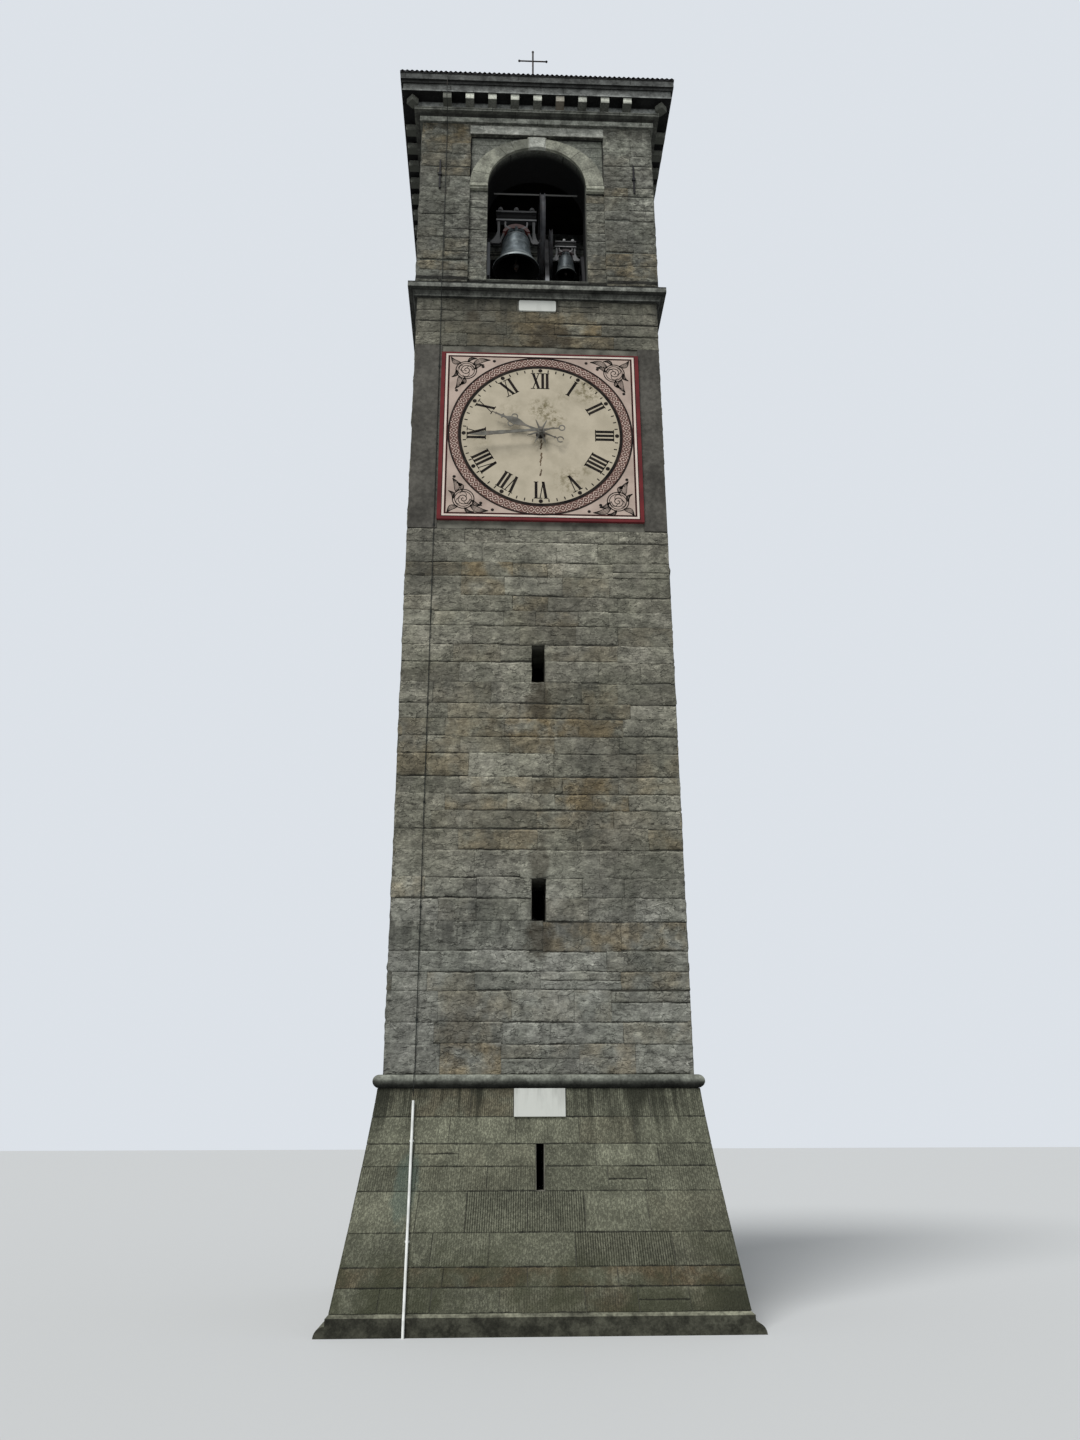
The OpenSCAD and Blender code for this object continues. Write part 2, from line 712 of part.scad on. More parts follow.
// The lower plaque leans with the battered wall behind it
module marble_plaques() {
  foot = batter((low_plaque_z - plinth_h) / base_h);
  lean = atan2(foot - base_head, torus_z - low_plaque_z);
  color([0.85, 0.85, 0.82]) {
    translate([0, wall_face, high_plaque_z]) rotate([90, 0, 0])
      plaque_plate(high_plaque_w, high_plaque_h, 30);
    translate([0, -foot - seat, low_plaque_z])
      rotate([90 - lean, 0, 0]) plaque_plate(low_plaque_w, low_plaque_h, 3);
  }
}

// Tie rods across all four arches and their anchor bars on the corner piers
module iron_ties() {
  rod_top = tie_up + tie_d / 2;
  rod_half = sqrt(arch_r * arch_r - rod_top * rod_top) - seat;
  color(iron) on_sides() {
    translate([-rod_half, -tie_y, tie_z]) rotate([0, 90, 0])
      cylinder(d = tie_d, h = 2 * rod_half, $fn = 24);
    for (s = [-1, 1]) translate([s * anchor_x, -belfry_half, anchor_z]) {
      translate([-14, -44, -anchor_l / 2]) cube([28, 28, anchor_l]);
      rotate([90, 0, 0]) cylinder(r = 34, h = 56, $fn = 24);
    }
  }
}

// The conductor's line down the front, as [distance in front of the axis, height]
guard_top = torus_z - 120;
bracket_pitch = 1500;
conductor_line = let (o = conductor_off) [
  [eaves_half - 5 + seat, eaves_z - 60],
  [eaves_half + o, eaves_z - 60],
  [eaves_half + o, frieze_z - o],
  [belfry_half + architrave_out + o, frieze_z - o - 20],
  [belfry_half + architrave_out + o, wall_top + 130],
  [belfry_half + o, wall_top - 60],
  [belfry_half + o, pier_z + 60],
  [shaft_half + belfry_cornice_out + o, pier_z - 120],
  [shaft_half + belfry_cornice_out + o, cornice_z + 90],
  [shaft_half + o, cornice_z - 80],
  [shaft_half + o, shaft_z + 60],
  [shaft_half + torus_out + o, shaft_z - 20],
  [shaft_half + torus_out + o, torus_z + 20],
  [base_head + 20 + o, guard_top + 20]];

// Bar along a line of [out, height] points, its rings mitred at the bends
function line_dir(line, i) = let (a = line[max(i - 1, 0)], b = line[i], c = line[min(i + 1, len(line) - 1)],
  u = i == 0 ? (c - b) / norm(c - b) : (b - a) / norm(b - a),
  v = i == len(line) - 1 ? u : (c - b) / norm(c - b)) (u + v) / norm(u + v);
function line_stretch(line, i) = i == 0 || i == len(line) - 1 ? 1
  : let (u = (line[i] - line[i - 1]) / norm(line[i] - line[i - 1])) 1 / (u * line_dir(line, i));

module bar_run(line, d, sides = 10) {
  n = len(line);
  points = [for (i = [0:n - 1]) let (t = line_dir(line, i), m = line_stretch(line, i))
    for (k = [0:sides - 1]) let (a = 360 * k / sides, out = d / 2 * sin(a) * m)
      [d / 2 * cos(a), -(line[i][0] + t[1] * out), line[i][1] - t[0] * out]];
  polyhedron(points = points, faces = concat(
    [[for (k = [sides - 1:-1:0]) k]],
    [for (i = [0:n - 2]) for (k = [0:sides - 1]) let (a = i * sides + k, b = i * sides + (k + 1) % sides)
      [a, b, b + sides, a + sides]],
    [[for (k = [0:sides - 1]) (n - 1) * sides + k]]));
}

module lightning_conductor() {
  color([0.22, 0.30, 0.26]) translate([-conductor_x, 0, 0]) {
    bar_run(conductor_line, conductor_d);
    for (z = [shaft_z + 700:bracket_pitch:cornice_z - 600]) {
      behind = z > render_z - 30 && z < render_z + render_h + 30 ? render_t + seat : 0;
      out = conductor_off - conductor_d / 2 - seat;
      translate([-15, -shaft_half - out, z - 15]) cube([30, out - behind, 30]);
    }
  }
}

// White pipe that guards the lowest run of the conductor
module guard_pipe() {
  foot_out = plinth_half + guard_d / 2 + 8;
  run = [for (t = [0.94, 0.5, 0.06]) [batter(t) + 30 + guard_d / 2, plinth_h + base_h * t]];
  color([0.86, 0.86, 0.84]) translate([-conductor_x, 0, 0]) {
    bar_run(concat(run, [[base_foot + 24 + guard_d / 2, plinth_h + 20],
      [foot_out, plinth_h - 60], [foot_out, 0]]), guard_d, 12);
    for (t = [0.3, 0.75]) {
      back = batter(t - 12 / base_h) + seat;
      translate([-26, -back - 22, plinth_h + base_h * t - 12]) cube([52, 22, 24]);
    }
  }
}

// Block of a bearing on a crossbar between the legs, round an axis at the given height
module bearing(axis_z) {
  translate([-75, axis_z - 90]) square([150, 90]);
  translate([0, axis_z]) circle(75, $fn = 48);
}

// One trestle of the bell frame in the YZ plane, with its bearing on top
module trestle(x, axis_z, w) {
  foot = 560;
  head = 200;
  leg = 80;
  under = axis_z - 90;
  translate([x - w / 2, axis_y, 0]) {
    translate([0, -foot - 60, floor_z]) cube([w, 2 * foot + 120, 90]);
    rotate([90, 0, 90]) linear_extrude(w) {
      for (s = [-1, 1]) polygon([[s * foot, floor_z + leg], [s * (foot - leg), floor_z + leg],
        [s * (head - leg), under], [s * head, under]]);
      translate([-head, under - leg]) square([2 * head, leg]);
      translate([-130, under]) square([260, 40]);
      bearing(axis_z);
    }
  }
}

module bearing_bore(x, axis_z, journal_d) {
  translate([x - post_w, axis_y, axis_z]) rotate([0, 90, 0])
    cylinder(d = journal_d + 2 * journal_gap, h = 2 * post_w, $fn = round_fn);
}

// Three trestles; the middle one carries a bearing for each bell, one above the other
module bell_frame() {
  color(iron) difference() {
    union() {
      trestle(-side_post_x, big_axis, side_post_w);
      trestle(mid_post_x, big_axis, post_w);
      trestle(side_post_x, small_axis, side_post_w);
      translate([mid_post_x - post_w / 2, axis_y, 0]) rotate([90, 0, 90])
        linear_extrude(post_w) {
          translate([-260, small_axis - 170]) square([520, 80]);
          bearing(small_axis);
        }
    }
    bearing_bore(-side_post_x, big_axis, big_journal_d);
    bearing_bore(mid_post_x, big_axis, big_journal_d);
    bearing_bore(mid_post_x, small_axis, small_journal_d);
    bearing_bore(side_post_x, small_axis, small_journal_d);
  }
}

// Sections of the bells, outside and inside, as shares of mouth radius and height
big_outside = [[1, 0], [1, 0.035], [0.93, 0.09], [0.84, 0.16], [0.75, 0.25], [0.685, 0.36],
  [0.645, 0.48], [0.615, 0.62], [0.597, 0.74], [0.575, 0.83], [0.53, 0.89], [0.44, 0.945],
  [0.30, 0.98], [0.14, 1], [0, 1]];
big_inside = [[0, 0.955], [0.14, 0.955], [0.29, 0.935], [0.42, 0.90], [0.49, 0.85], [0.525, 0.78],
  [0.545, 0.62], [0.575, 0.47], [0.62, 0.35], [0.69, 0.23], [0.78, 0.13], [0.86, 0.05], [0.88, 0]];
small_outside = [[1, 0], [1, 0.03], [0.945, 0.08], [0.885, 0.16], [0.845, 0.28], [0.815, 0.42],
  [0.785, 0.55], [0.745, 0.68], [0.70, 0.79], [0.63, 0.87], [0.53, 0.925], [0.40, 0.965],
  [0.22, 0.99], [0, 1]];
small_inside = [[0, 0.955], [0.22, 0.955], [0.38, 0.92], [0.48, 0.875], [0.57, 0.81], [0.62, 0.73],
  [0.665, 0.62], [0.70, 0.50], [0.735, 0.36], [0.765, 0.22], [0.81, 0.10], [0.85, 0.03], [0.86, 0]];
crown_inside = 0.955;
saddle_under = 0.42;

// Turned bell with its head and crown loops; the head reaches up to the yoke's saddle
module bell(section, r, h, drop, x, axis_z, yoke_up) {
  head = saddle_under * yoke_up + drop - h;
  translate([x, axis_y, axis_z - drop]) {
    rotate_extrude($fn = 96) polygon([for (p = section) [p[0] * r, p[1] * h]]);
    translate([0, 0, h - 4]) cylinder(r = 0.13 * r, h = head + 4 - seat, $fn = 40);
    for (a = [0:60:300]) rotate([90, 0, a + 30])
      linear_extrude(0.09 * r, center = true) translate([0.22 * r, h - 0.1 * r]) intersection() {
        scale([1, (head + 0.05 * r) / (0.22 * r)]) ring(0.22 * r, 0.08 * r);
        translate([-0.12 * r, 0]) square([0.36 * r, 2 * head]);
      }
  }
}

// Yoke of a balanced bell: heavy top beam with white balls, side bars, horseshoe straps,
// arched saddle over the crown, stays and journals. Drawn for a yoke 730 high and scaled
// to the height given; w is half the length of the beam.
module yoke(up, x, axis_z, w, journal_d, left_end, right_end, right_gusset, balls) {
  k = up / 730;
  bar_out = w - 25 * k;
  bar_in = bar_out - 47 * k;
  translate([x, axis_y, axis_z]) {
    rotate([90, 0, 0]) {
      linear_extrude(50 * k, center = true) for (s = [-1, 1]) {
        gusset = s < 0 ? 108 * k : right_gusset;
        polygon([for (p = [[bar_in, -38 * k], [bar_out, -38 * k], [bar_out, 500 * k], [bar_in, 500 * k]])
          [s * p[0], p[1]]]);
        polygon([for (p = [[bar_out - 5, 270 * k], [bar_out - 5, -38 * k], [bar_out + gusset, -38 * k],
          [bar_out + gusset, 30 * k], [bar_out + gusset * 0.5, 95 * k], [bar_out + gusset * 0.2, 175 * k]])
          [s * p[0], p[1]]]);
        polygon([for (p = [[bar_in + 6, -30 * k], [bar_in + 6, 30 * k], [236 * k, 250 * k],
          [206 * k, 245 * k], [bar_in - 22 * k, -5 * k]]) [s * p[0], p[1]]]);
        intersection() {
          translate([s * 41 * k, 440 * k]) ring(177 * k, 26 * k);
          translate([s > 0 ? 160 * k : -240 * k, 330 * k]) square([80 * k, 190 * k]);
        }
      }
      linear_extrude(110 * k, center = true) intersection() {
        difference() {
          translate([0, 134 * k]) circle(268 * k, $fn = 72);
          translate([0, (320 - 250) * k]) circle(250 * k, $fn = 72);
        }
        translate([-280 * k, 220 * k]) square([560 * k, 200 * k]);
      }
      linear_extrude(110 * k, center = true)
        translate([-85 * k, saddle_under * up]) square([170 * k, 30 * k]);
      for (s = [-1, 1]) translate([s * (bar_in + 23 * k), 672 * k, 0])
        cylinder(r = 48 * k, h = 100 * k, center = true, $fn = 40);
    }
    translate([-w, -56 * k, 480 * k]) cube([2 * w, 112 * k, 36 * k]);
    translate([-w + 12 * k, -34 * k, 510 * k]) cube([2 * w - 24 * k, 68 * k, 190 * k]);
    translate([-w, -42 * k, 690 * k]) cube([2 * w, 84 * k, 40 * k]);
    for (b = balls) translate([b, 0, up - 2]) {
      cylinder(r = 20 * k, h = 24 * k, $fn = 24);
      translate([0, 0, 62 * k]) sphere(46 * k, $fn = 32);
    }
  }
  for (e = [[left_end, x - bar_in - 8], [x + bar_in + 8, right_end]])
    translate([e[0], axis_y, axis_z]) rotate([0, 90, 0])
      cylinder(d = journal_d, h = e[1] - e[0], $fn = round_fn);
}

// Rope wheel: grooved rim, hub and spokes, its left face at x
module wheel(x, axis_z, r, w, journal_d, spokes) {
  rim = 70;
  hub_r = journal_d / 2 + 40;
  translate([x, axis_y, axis_z]) rotate([0, 90, 0]) {
    rotate_extrude($fn = 96) polygon([[r - rim, 6], [r, 0], [r, 8], [r - 26, 18],
      [r - 26, w - 18], [r, w - 8], [r, w], [r - rim, w - 6]]);
    difference() {
      cylinder(r = hub_r, h = w, $fn = round_fn);
      translate([0, 0, -1]) cylinder(d = journal_d + 2 * journal_gap, h = w + 2, $fn = round_fn);
    }
    for (i = [0:spokes - 1]) rotate([0, 0, i * 360 / spokes])
      translate([hub_r - 4, -18, w / 2 - 10]) cube([r - rim - hub_r + 10, 36, 20]);
  }
}

// Clapper: ball and flight on a rod under the bell's crown, mouth radius r
module clapper(r, h, drop, x, axis_z) {
  ball = 0.2 * r;
  stem = crown_inside * h;
  translate([x, axis_y, axis_z - drop]) {
    translate([0, 0, stem - 0.13 * r]) cylinder(r = 0.06 * r, h = 0.13 * r, $fn = 32);
    translate([0, 0, ball]) cylinder(r = 0.035 * r, h = stem - 0.12 * r - ball, $fn = 24);
    translate([0, 0, ball]) sphere(0.13 * r, $fn = 32);
    translate([0, 0, ball - 0.24 * r]) cylinder(r1 = 0.04 * r, r2 = 0.05 * r, h = 0.16 * r, $fn = 24);
  }
}

module big_bell() {
  color(bronze) bell(concat(big_outside, big_inside), big_r, big_bell_h, big_drop, -big_bell_x,
    big_axis, big_yoke_up);
}
module big_bell_yoke() {
  w = big_yoke_l / 2;
  color(iron) yoke(big_yoke_up, -big_bell_x, big_axis, w, big_journal_d, seat - arch_r,
    mid_post_x + post_w / 2 - 4, 50, [-0.393 * big_yoke_l, 0, 0.393 * big_yoke_l]);
}
module big_bell_wheel() {
  color(iron) wheel(big_wheel_x, big_axis, big_wheel_r, big_wheel_w, big_journal_d, 8);
}
module big_bell_clapper() { color(iron) clapper(big_r, big_bell_h, big_drop, -big_bell_x, big_axis); }
module small_bell() {
  color(bronze) bell(concat(small_outside, small_inside), small_r, small_bell_h, small_drop,
    small_bell_x, small_axis, small_yoke_up);
}
module small_bell_yoke() {
  w = small_yoke_l / 2;
  color(iron) yoke(small_yoke_up, small_bell_x, small_axis, w, small_journal_d,
    mid_post_x - post_w / 2 + 4, arch_r - seat, 62, [-0.065 * small_yoke_l, 0.34 * small_yoke_l]);
}
module small_bell_wheel() {
  color(iron) wheel(small_wheel_x, small_axis, small_wheel_r, small_wheel_w, small_journal_d, 6);
}
module small_bell_clapper() {
  color(iron) clapper(small_r, small_bell_h, small_drop, small_bell_x, small_axis);
}

plinth();
base_wall(0);  // base_wall_front
base_wall(1);  // base_wall_right
base_wall(2);  // base_wall_back
base_wall(3);  // base_wall_left
torus_course();
shaft_wall(0);  // shaft_wall_front
shaft_wall(1);  // shaft_wall_right
shaft_wall(2);  // shaft_wall_back
shaft_wall(3);  // shaft_wall_left
belfry_cornice();
belfry_floor();
belfry_pier(0);  // belfry_pier_front_left
belfry_pier(1);  // belfry_pier_front_right
belfry_pier(2);  // belfry_pier_back_right
belfry_pier(3);  // belfry_pier_back_left
belfry_head(0);  // belfry_head_front
belfry_head(1);  // belfry_head_right
belfry_head(2);  // belfry_head_back
belfry_head(3);  // belfry_head_left
arch_rings();
architrave();
modillions();
main_cornice();
roof_deck();
roof_sheets();
roof_cross();
render_strips();
clock_panel();
arbor_boss();
hour_hand();
minute_hand();
marble_plaques();
iron_ties();
lightning_conductor();
guard_pipe();
bell_frame();
big_bell();
big_bell_yoke();
big_bell_wheel();
big_bell_clapper();
small_bell();
small_bell_yoke();
small_bell_wheel();
small_bell_clapper();
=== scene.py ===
import math
import random

import bmesh
import bpy
from mathutils import Matrix, Vector


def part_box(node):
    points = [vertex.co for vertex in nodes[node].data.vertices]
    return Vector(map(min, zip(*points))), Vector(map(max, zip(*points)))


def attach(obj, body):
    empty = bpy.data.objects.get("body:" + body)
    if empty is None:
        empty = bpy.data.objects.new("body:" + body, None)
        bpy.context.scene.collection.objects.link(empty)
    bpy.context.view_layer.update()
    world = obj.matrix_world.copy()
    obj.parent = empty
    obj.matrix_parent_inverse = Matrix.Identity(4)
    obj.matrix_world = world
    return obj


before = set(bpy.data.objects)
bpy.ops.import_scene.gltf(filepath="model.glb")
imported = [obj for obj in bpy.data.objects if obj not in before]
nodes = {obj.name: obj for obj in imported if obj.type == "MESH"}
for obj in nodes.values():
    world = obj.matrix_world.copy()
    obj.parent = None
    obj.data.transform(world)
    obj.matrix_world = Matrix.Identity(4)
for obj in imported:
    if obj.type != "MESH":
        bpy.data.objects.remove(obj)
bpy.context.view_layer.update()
print("frame loaded")


def lowOf(node, axis):
    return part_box(node)[0]["xyz".index(axis)]


def highOf(node, axis):
    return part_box(node)[1]["xyz".index(axis)]


def middleOf(node, axis):
    return (lowOf(node, axis) + highOf(node, axis)) / 2


# Levels and half widths of the walls, in metres
wall = {
    "plinthTop": lowOf("base_wall_front", "z"), "baseTop": highOf("base_wall_front", "z"),
    "baseFoot": highOf("base_wall_front", "x"), "baseHead": 2.095,
    "shaft": highOf("shaft_wall_front", "x"),
    "belfry": highOf("belfry_pier_front_right", "x"), "belfryFoot": lowOf("belfry_pier_front_right", "z"),
    "belfryTop": highOf("belfry_head_front", "z"), "spring": lowOf("belfry_head_front", "z"),
    "arch": lowOf("belfry_pier_front_right", "x"), "strip": 1.20, "recess": 2.013,
}


# Camera, floor and light

view = {"place": (-0.6102, -17.3177, 2.2652), "pitch": 20.3538, "yaw": 2.3746, "roll": -0.1802, "lens": 27.75}
light = {"skyStrength": 0.42, "sky": (0.92, 0.96, 1.0, 1), "backdrop": (0.72, 0.76, 0.81, 1),
         "sunStrength": 3.1, "sunAngle": 24, "sunTurn": (36, 0, -30),
         "floor": (0.52, 0.53, 0.53, 1), "floorReach": 150}


def makeCamera():
    pitch, yaw, roll = (math.radians(view[k]) for k in ("pitch", "yaw", "roll"))
    ahead = Vector((math.sin(yaw), math.cos(yaw), 0))
    side = Vector((math.cos(yaw), -math.sin(yaw), 0))
    up = Vector((0, 0, 1))
    look = ahead * math.cos(pitch) + up * math.sin(pitch)
    top = up * math.cos(pitch) - ahead * math.sin(pitch)
    right = side * math.cos(roll) + top * math.sin(roll)
    over = top * math.cos(roll) - side * math.sin(roll)
    data = bpy.data.cameras.new("camera")
    data.lens = view["lens"]
    data.clip_end = 400
    camera = bpy.data.objects.new("camera", data)
    turn = Matrix((right, over, -look)).transposed().to_4x4()
    camera.matrix_world = Matrix.Translation(view["place"]) @ turn
    bpy.context.collection.objects.link(camera)
    bpy.context.scene.camera = camera


def makeWorld():  # soft sky light, and a plain backdrop where the camera looks straight at it
    world = bpy.data.worlds.new("studio")
    world.use_nodes = True
    tree = world.node_tree
    tree.nodes.clear()
    mix = tree.nodes.new("ShaderNodeMixShader")
    tree.links.new(tree.nodes.new("ShaderNodeLightPath").outputs["Is Camera Ray"], mix.inputs[0])
    for slot, color, strength in ((1, light["sky"], light["skyStrength"]), (2, light["backdrop"], 1.0)):
        glow = tree.nodes.new("ShaderNodeBackground")
        glow.inputs["Color"].default_value = color
        glow.inputs["Strength"].default_value = strength
        tree.links.new(glow.outputs[0], mix.inputs[slot])
    tree.links.new(mix.outputs[0], tree.nodes.new("ShaderNodeOutputWorld").inputs[0])
    bpy.context.scene.world = world


def makeStage():
    data = bpy.data.lights.new("softSun", "SUN")
    data.energy = light["sunStrength"]
    data.angle = math.radians(light["sunAngle"])
    lamp = bpy.data.objects.new("softSun", data)
    lamp.rotation_euler = [math.radians(v) for v in light["sunTurn"]]
    bpy.context.collection.objects.link(lamp)
    mesh = bpy.data.meshes.new("floor")
    reach = light["floorReach"]
    corners = [(-reach, -reach, 0), (reach, -reach, 0), (reach, reach, 0), (-reach, reach, 0)]
    mesh.from_pydata(corners, [], [(0, 1, 2, 3)])
    floor = bpy.data.objects.new("floor", mesh)
    paper = bpy.data.materials.new("floorPaint")
    paper.use_nodes = True
    shader = paper.node_tree.nodes["Principled BSDF"]
    shader.inputs["Base Color"].default_value = light["floor"]
    shader.inputs["Roughness"].default_value = 0.9
    mesh.materials.append(paper)
    bpy.context.collection.objects.link(floor)
    bpy.context.scene.view_settings.view_transform = "Standard"


makeCamera()
makeWorld()
makeStage()
print("camera, floor and light")


# Short ways to write node trees

def sign(operation, turned=False):
    def work(value, other):
        return calc(operation, other, value) if turned else calc(operation, value, other)
    return work


class Value:  # a socket that can be added, multiplied and compared; each sign puts in a Math node
    def __init__(self, tree, socket):
        self.tree = tree
        self.socket = socket

    __add__ = __radd__ = sign("ADD")
    __mul__ = __rmul__ = sign("MULTIPLY")
    __sub__ = sign("SUBTRACT")
    __rsub__ = sign("SUBTRACT", turned=True)
    __truediv__ = sign("DIVIDE")
    __lt__ = sign("LESS_THAN")
    __gt__ = sign("GREATER_THAN")

    def __abs__(self):
        return calc("ABSOLUTE", self)

    def axes(self):
        return [Value(self.tree, s) for s in put(self.tree, "ShaderNodeSeparateXYZ", {0: self}).outputs]


def put(tree, kind, inputs=None, **settings):
    node = tree.nodes.new(kind)
    for name, value in settings.items():
        setattr(node, name, value)
    for key, value in (inputs or {}).items():
        if isinstance(value, Value):
            tree.links.new(value.socket, node.inputs[key])
        elif node.inputs[key].type == "RGBA":  # a colour is given as red, green and blue
            node.inputs[key].default_value = (*value, 1.0)
        else:
            node.inputs[key].default_value = value
    return node


def get(tree, kind, inputs=None, out=0, **settings):
    return Value(tree, put(tree, kind, inputs, **settings).outputs[out])


def treeOf(*parts):
    return next(part.tree for part in parts if isinstance(part, Value))


def calc(operation, *parts):
    return get(treeOf(*parts), "ShaderNodeMath", dict(enumerate(parts)), operation=operation)


def vector(operation, a, b, out=0):
    return get(treeOf(a, b), "ShaderNodeVectorMath", {0: a, 1: b}, out, operation=operation)


def combine(x=0.0, y=0.0, z=0.0):
    return get(treeOf(x, y, z), "ShaderNodeCombineXYZ", {0: x, 1: y, 2: z})


def grey(value, tint=(1.0, 1.0, 1.0)):
    return get(treeOf(value), "ShaderNodeVectorMath", {0: tint, "Scale": value}, operation="SCALE")


def mixColor(factor, a, b, blend="MIX"):
    return get(treeOf(factor, a, b), "ShaderNodeMix", {0: factor, 6: a, 7: b}, 2, data_type="RGBA",
               blend_type=blend)


def times(body, other):
    return mixColor(1.0, body, other, "MULTIPLY")


def noise(place, scale, detail=3.0, rough=0.55, out=0):  # a scale of three numbers stretches the pattern
    if isinstance(scale, tuple):
        place = get(place.tree, "ShaderNodeMapping", {"Vector": place, "Scale": scale})
        scale = 1.0
    return get(place.tree, "ShaderNodeTexNoise", {"Vector": place, "Scale": scale, "Detail": detail,
                                                  "Roughness": rough}, out)


def spread(value, low, high, toLow=0.0, toHigh=1.0, smooth=True):
    return get(value.tree, "ShaderNodeMapRange", {0: value, 1: low, 2: high, 3: toLow, 4: toHigh},
               interpolation_type="SMOOTHSTEP" if smooth else "LINEAR")


def mottle(place, layers):  # each layer: scale, detail, roughness, reach about the middle, darkest, brightest
    whole = 1.0
    for scale, detail, rough, reach, dark, bright in layers:
        whole = spread(noise(place, scale, detail, rough), 0.5 - reach, 0.5 + reach, dark, bright) * whole
    return whole


def tiers(value, stops):  # brightness that changes along a value, from pairs of value and brightness
    low, high = stops[0][0], stops[-1][0]
    ramp = put(value.tree, "ShaderNodeValToRGB", {0: spread(value, low, high, smooth=False)})
    marks = ramp.color_ramp.elements
    marks.remove(marks[1])
    marks[0].position = 0.0
    marks[0].color = (*[stops[0][1]] * 3, 1.0)
    for at, bright in stops[1:]:
        marks.new((at - low) / (high - low)).color = (*[bright] * 3, 1.0)
    return Value(value.tree, ramp.outputs[0])


def attribute(tree, name, out=2):
    return get(tree, "ShaderNodeAttribute", None, out, attribute_name=name)


def objectPlace(tree):
    return get(tree, "ShaderNodeTexCoord", None, "Object")


def faceNormal(tree):
    return get(tree, "ShaderNodeNewGeometry", None, "True Normal")


def newGroup(name, kind, inputs):  # inputs: label, socket type, value
    group = bpy.data.node_groups.new(name, kind)
    for label, socket, value in inputs:
        made = group.interface.new_socket(name=label, in_out="INPUT", socket_type="NodeSocket" + socket)
        if value is not None:
            made.default_value = value
    return group, {s.name: Value(group, s) for s in group.nodes.new("NodeGroupInput").outputs}


def endGroup(group, socket, **results):
    for label in results:
        group.interface.new_socket(name=label, in_out="OUTPUT", socket_type="NodeSocket" + socket)
    out = group.nodes.new("NodeGroupOutput")
    for label, value in results.items():
        group.links.new(value.socket, out.inputs[label])
    return group


def use(tree, group, **inputs):
    node = put(tree, "ShaderNodeGroup", inputs, node_tree=group)
    return {s.name: Value(tree, s) for s in node.outputs}


# Shader groups that several materials share

def makeGrain():  # grain of stone or plaster: relief, speckle and cloud
    group, given = newGroup("stoneGrain", "ShaderNodeTree", [
        ("Vector", "Vector", None), ("Scale", "Float", 1.0)])
    place = get(group, "ShaderNodeVectorMath", {0: given["Vector"], "Scale": given["Scale"]},
                operation="SCALE")
    fine = noise(place, 34.0, 4.0, 0.7)
    pit = get(group, "ShaderNodeTexVoronoi", {"Vector": place, "Scale": 26.0})
    height = noise(place, 7.0, 5.0, 0.62) * 0.7 + fine * 0.3 + spread(pit, 0.0, 0.35) * 0.12
    return endGroup(group, "Float", Height=height, Speckle=spread(fine, 0.32, 0.68),
                    Cloud=spread(noise(place, 1.5, 4.0, 0.6), 0.3, 0.7))


def makeDrips():  # dark runs of water below a ledge at height Top
    group, given = newGroup("drips", "ShaderNodeTree", [
        ("Vector", "Vector", None), ("Top", "Float", 1.0), ("Length", "Float", 0.5)])
    place = given["Vector"]
    down = given["Top"] - place.axes()[2]
    fade = down / given["Length"]
    runs = noise(place, (7.0, 7.0, 0.55), 4.0, 0.65) + noise(place, (1.3, 1.3, 0.2), 2.0) * 0.5
    inside = (down > -0.02) * spread(fade, 1.1, 0.05)
    return endGroup(group, "Float", Mask=inside * spread(runs - fade * 0.22, 0.62, 0.86))


def makeAlongWall():  # place along the wall on any of the four sides
    group, given = newGroup("alongWall", "ShaderNodeTree", [])
    x, y, z = objectPlace(group).axes()
    facingX, facingY, facingZ = faceNormal(group).axes()
    onSide = abs(facingX) > abs(facingY)
    return endGroup(group, "Float", Along=get(group, "ShaderNodeMix", {0: onSide, 2: x, 3: y}))


def makeStoneEdges():  # ragged joints of one stone: dark bed joints that come and go, faint upright ones; painted shade along its foot, a painted highlight along its top
    group, given = newGroup("stoneEdges", "ShaderNodeTree", [("Vector", "Vector", None)])
    place = given["Vector"]
    partX, partY, partZ = attribute(group, "blockPlace", 1).axes()
    sizeX, sizeY, sizeZ = attribute(group, "stoneSize", 1).axes()
    ragged = noise(place, 17.0, 4.0, 0.7) - 0.5
    kept = spread(noise(place, (2.2, 2.2, 5.0), 3.0, 0.6), 0.42, 0.60)
    bed = spread((0.5 - abs(partZ)) * sizeZ + ragged * 0.042, 0.013, 0.001)
    bed = bed * spread(kept, 0.0, 1.0, 0.16, 1.0, smooth=False)
    upright = spread((0.5 - abs(partX)) * sizeX + ragged * 0.026, 0.009, 0.0)
    upright = upright * spread(kept, 1.0, 0.0, 0.05, 0.45, smooth=False)
    # painted shade along the foot of each stone, painted highlight along its top
    low = (partZ + 0.5) * sizeZ + ragged * 0.06
    top = (0.5 - partZ) * sizeZ + ragged * 0.05
    return endGroup(group, "Float", Joint=calc("MAXIMUM", bed, upright), Under=spread(low, 0.034, 0.0),
                    Lit=spread(top, 0.034, 0.012) * kept)


grain = makeGrain()
drips = makeDrips()
alongWall = makeAlongWall()
stoneEdges = makeStoneEdges()


def material(name, build, roughness=0.85, metallic=0.0):
    made = bpy.data.materials.new(name)
    made.use_nodes = True
    tree = made.node_tree
    shader = tree.nodes["Principled BSDF"]
    shader.inputs["Roughness"].default_value = roughness
    shader.inputs["Metallic"].default_value = metallic
    shader.inputs["Specular IOR Level"].default_value = 0.12
    for socket, value in build(tree).items():
        if socket == "Bump":
            relief = dict(zip(("Height", "Strength", "Distance"), value))
            socket, value = "Normal", get(tree, "ShaderNodeBump", relief)
        tree.links.new(value.socket, shader.inputs[socket])
    return made


# Masonry

jointShade = (0.016, 0.016, 0.014)


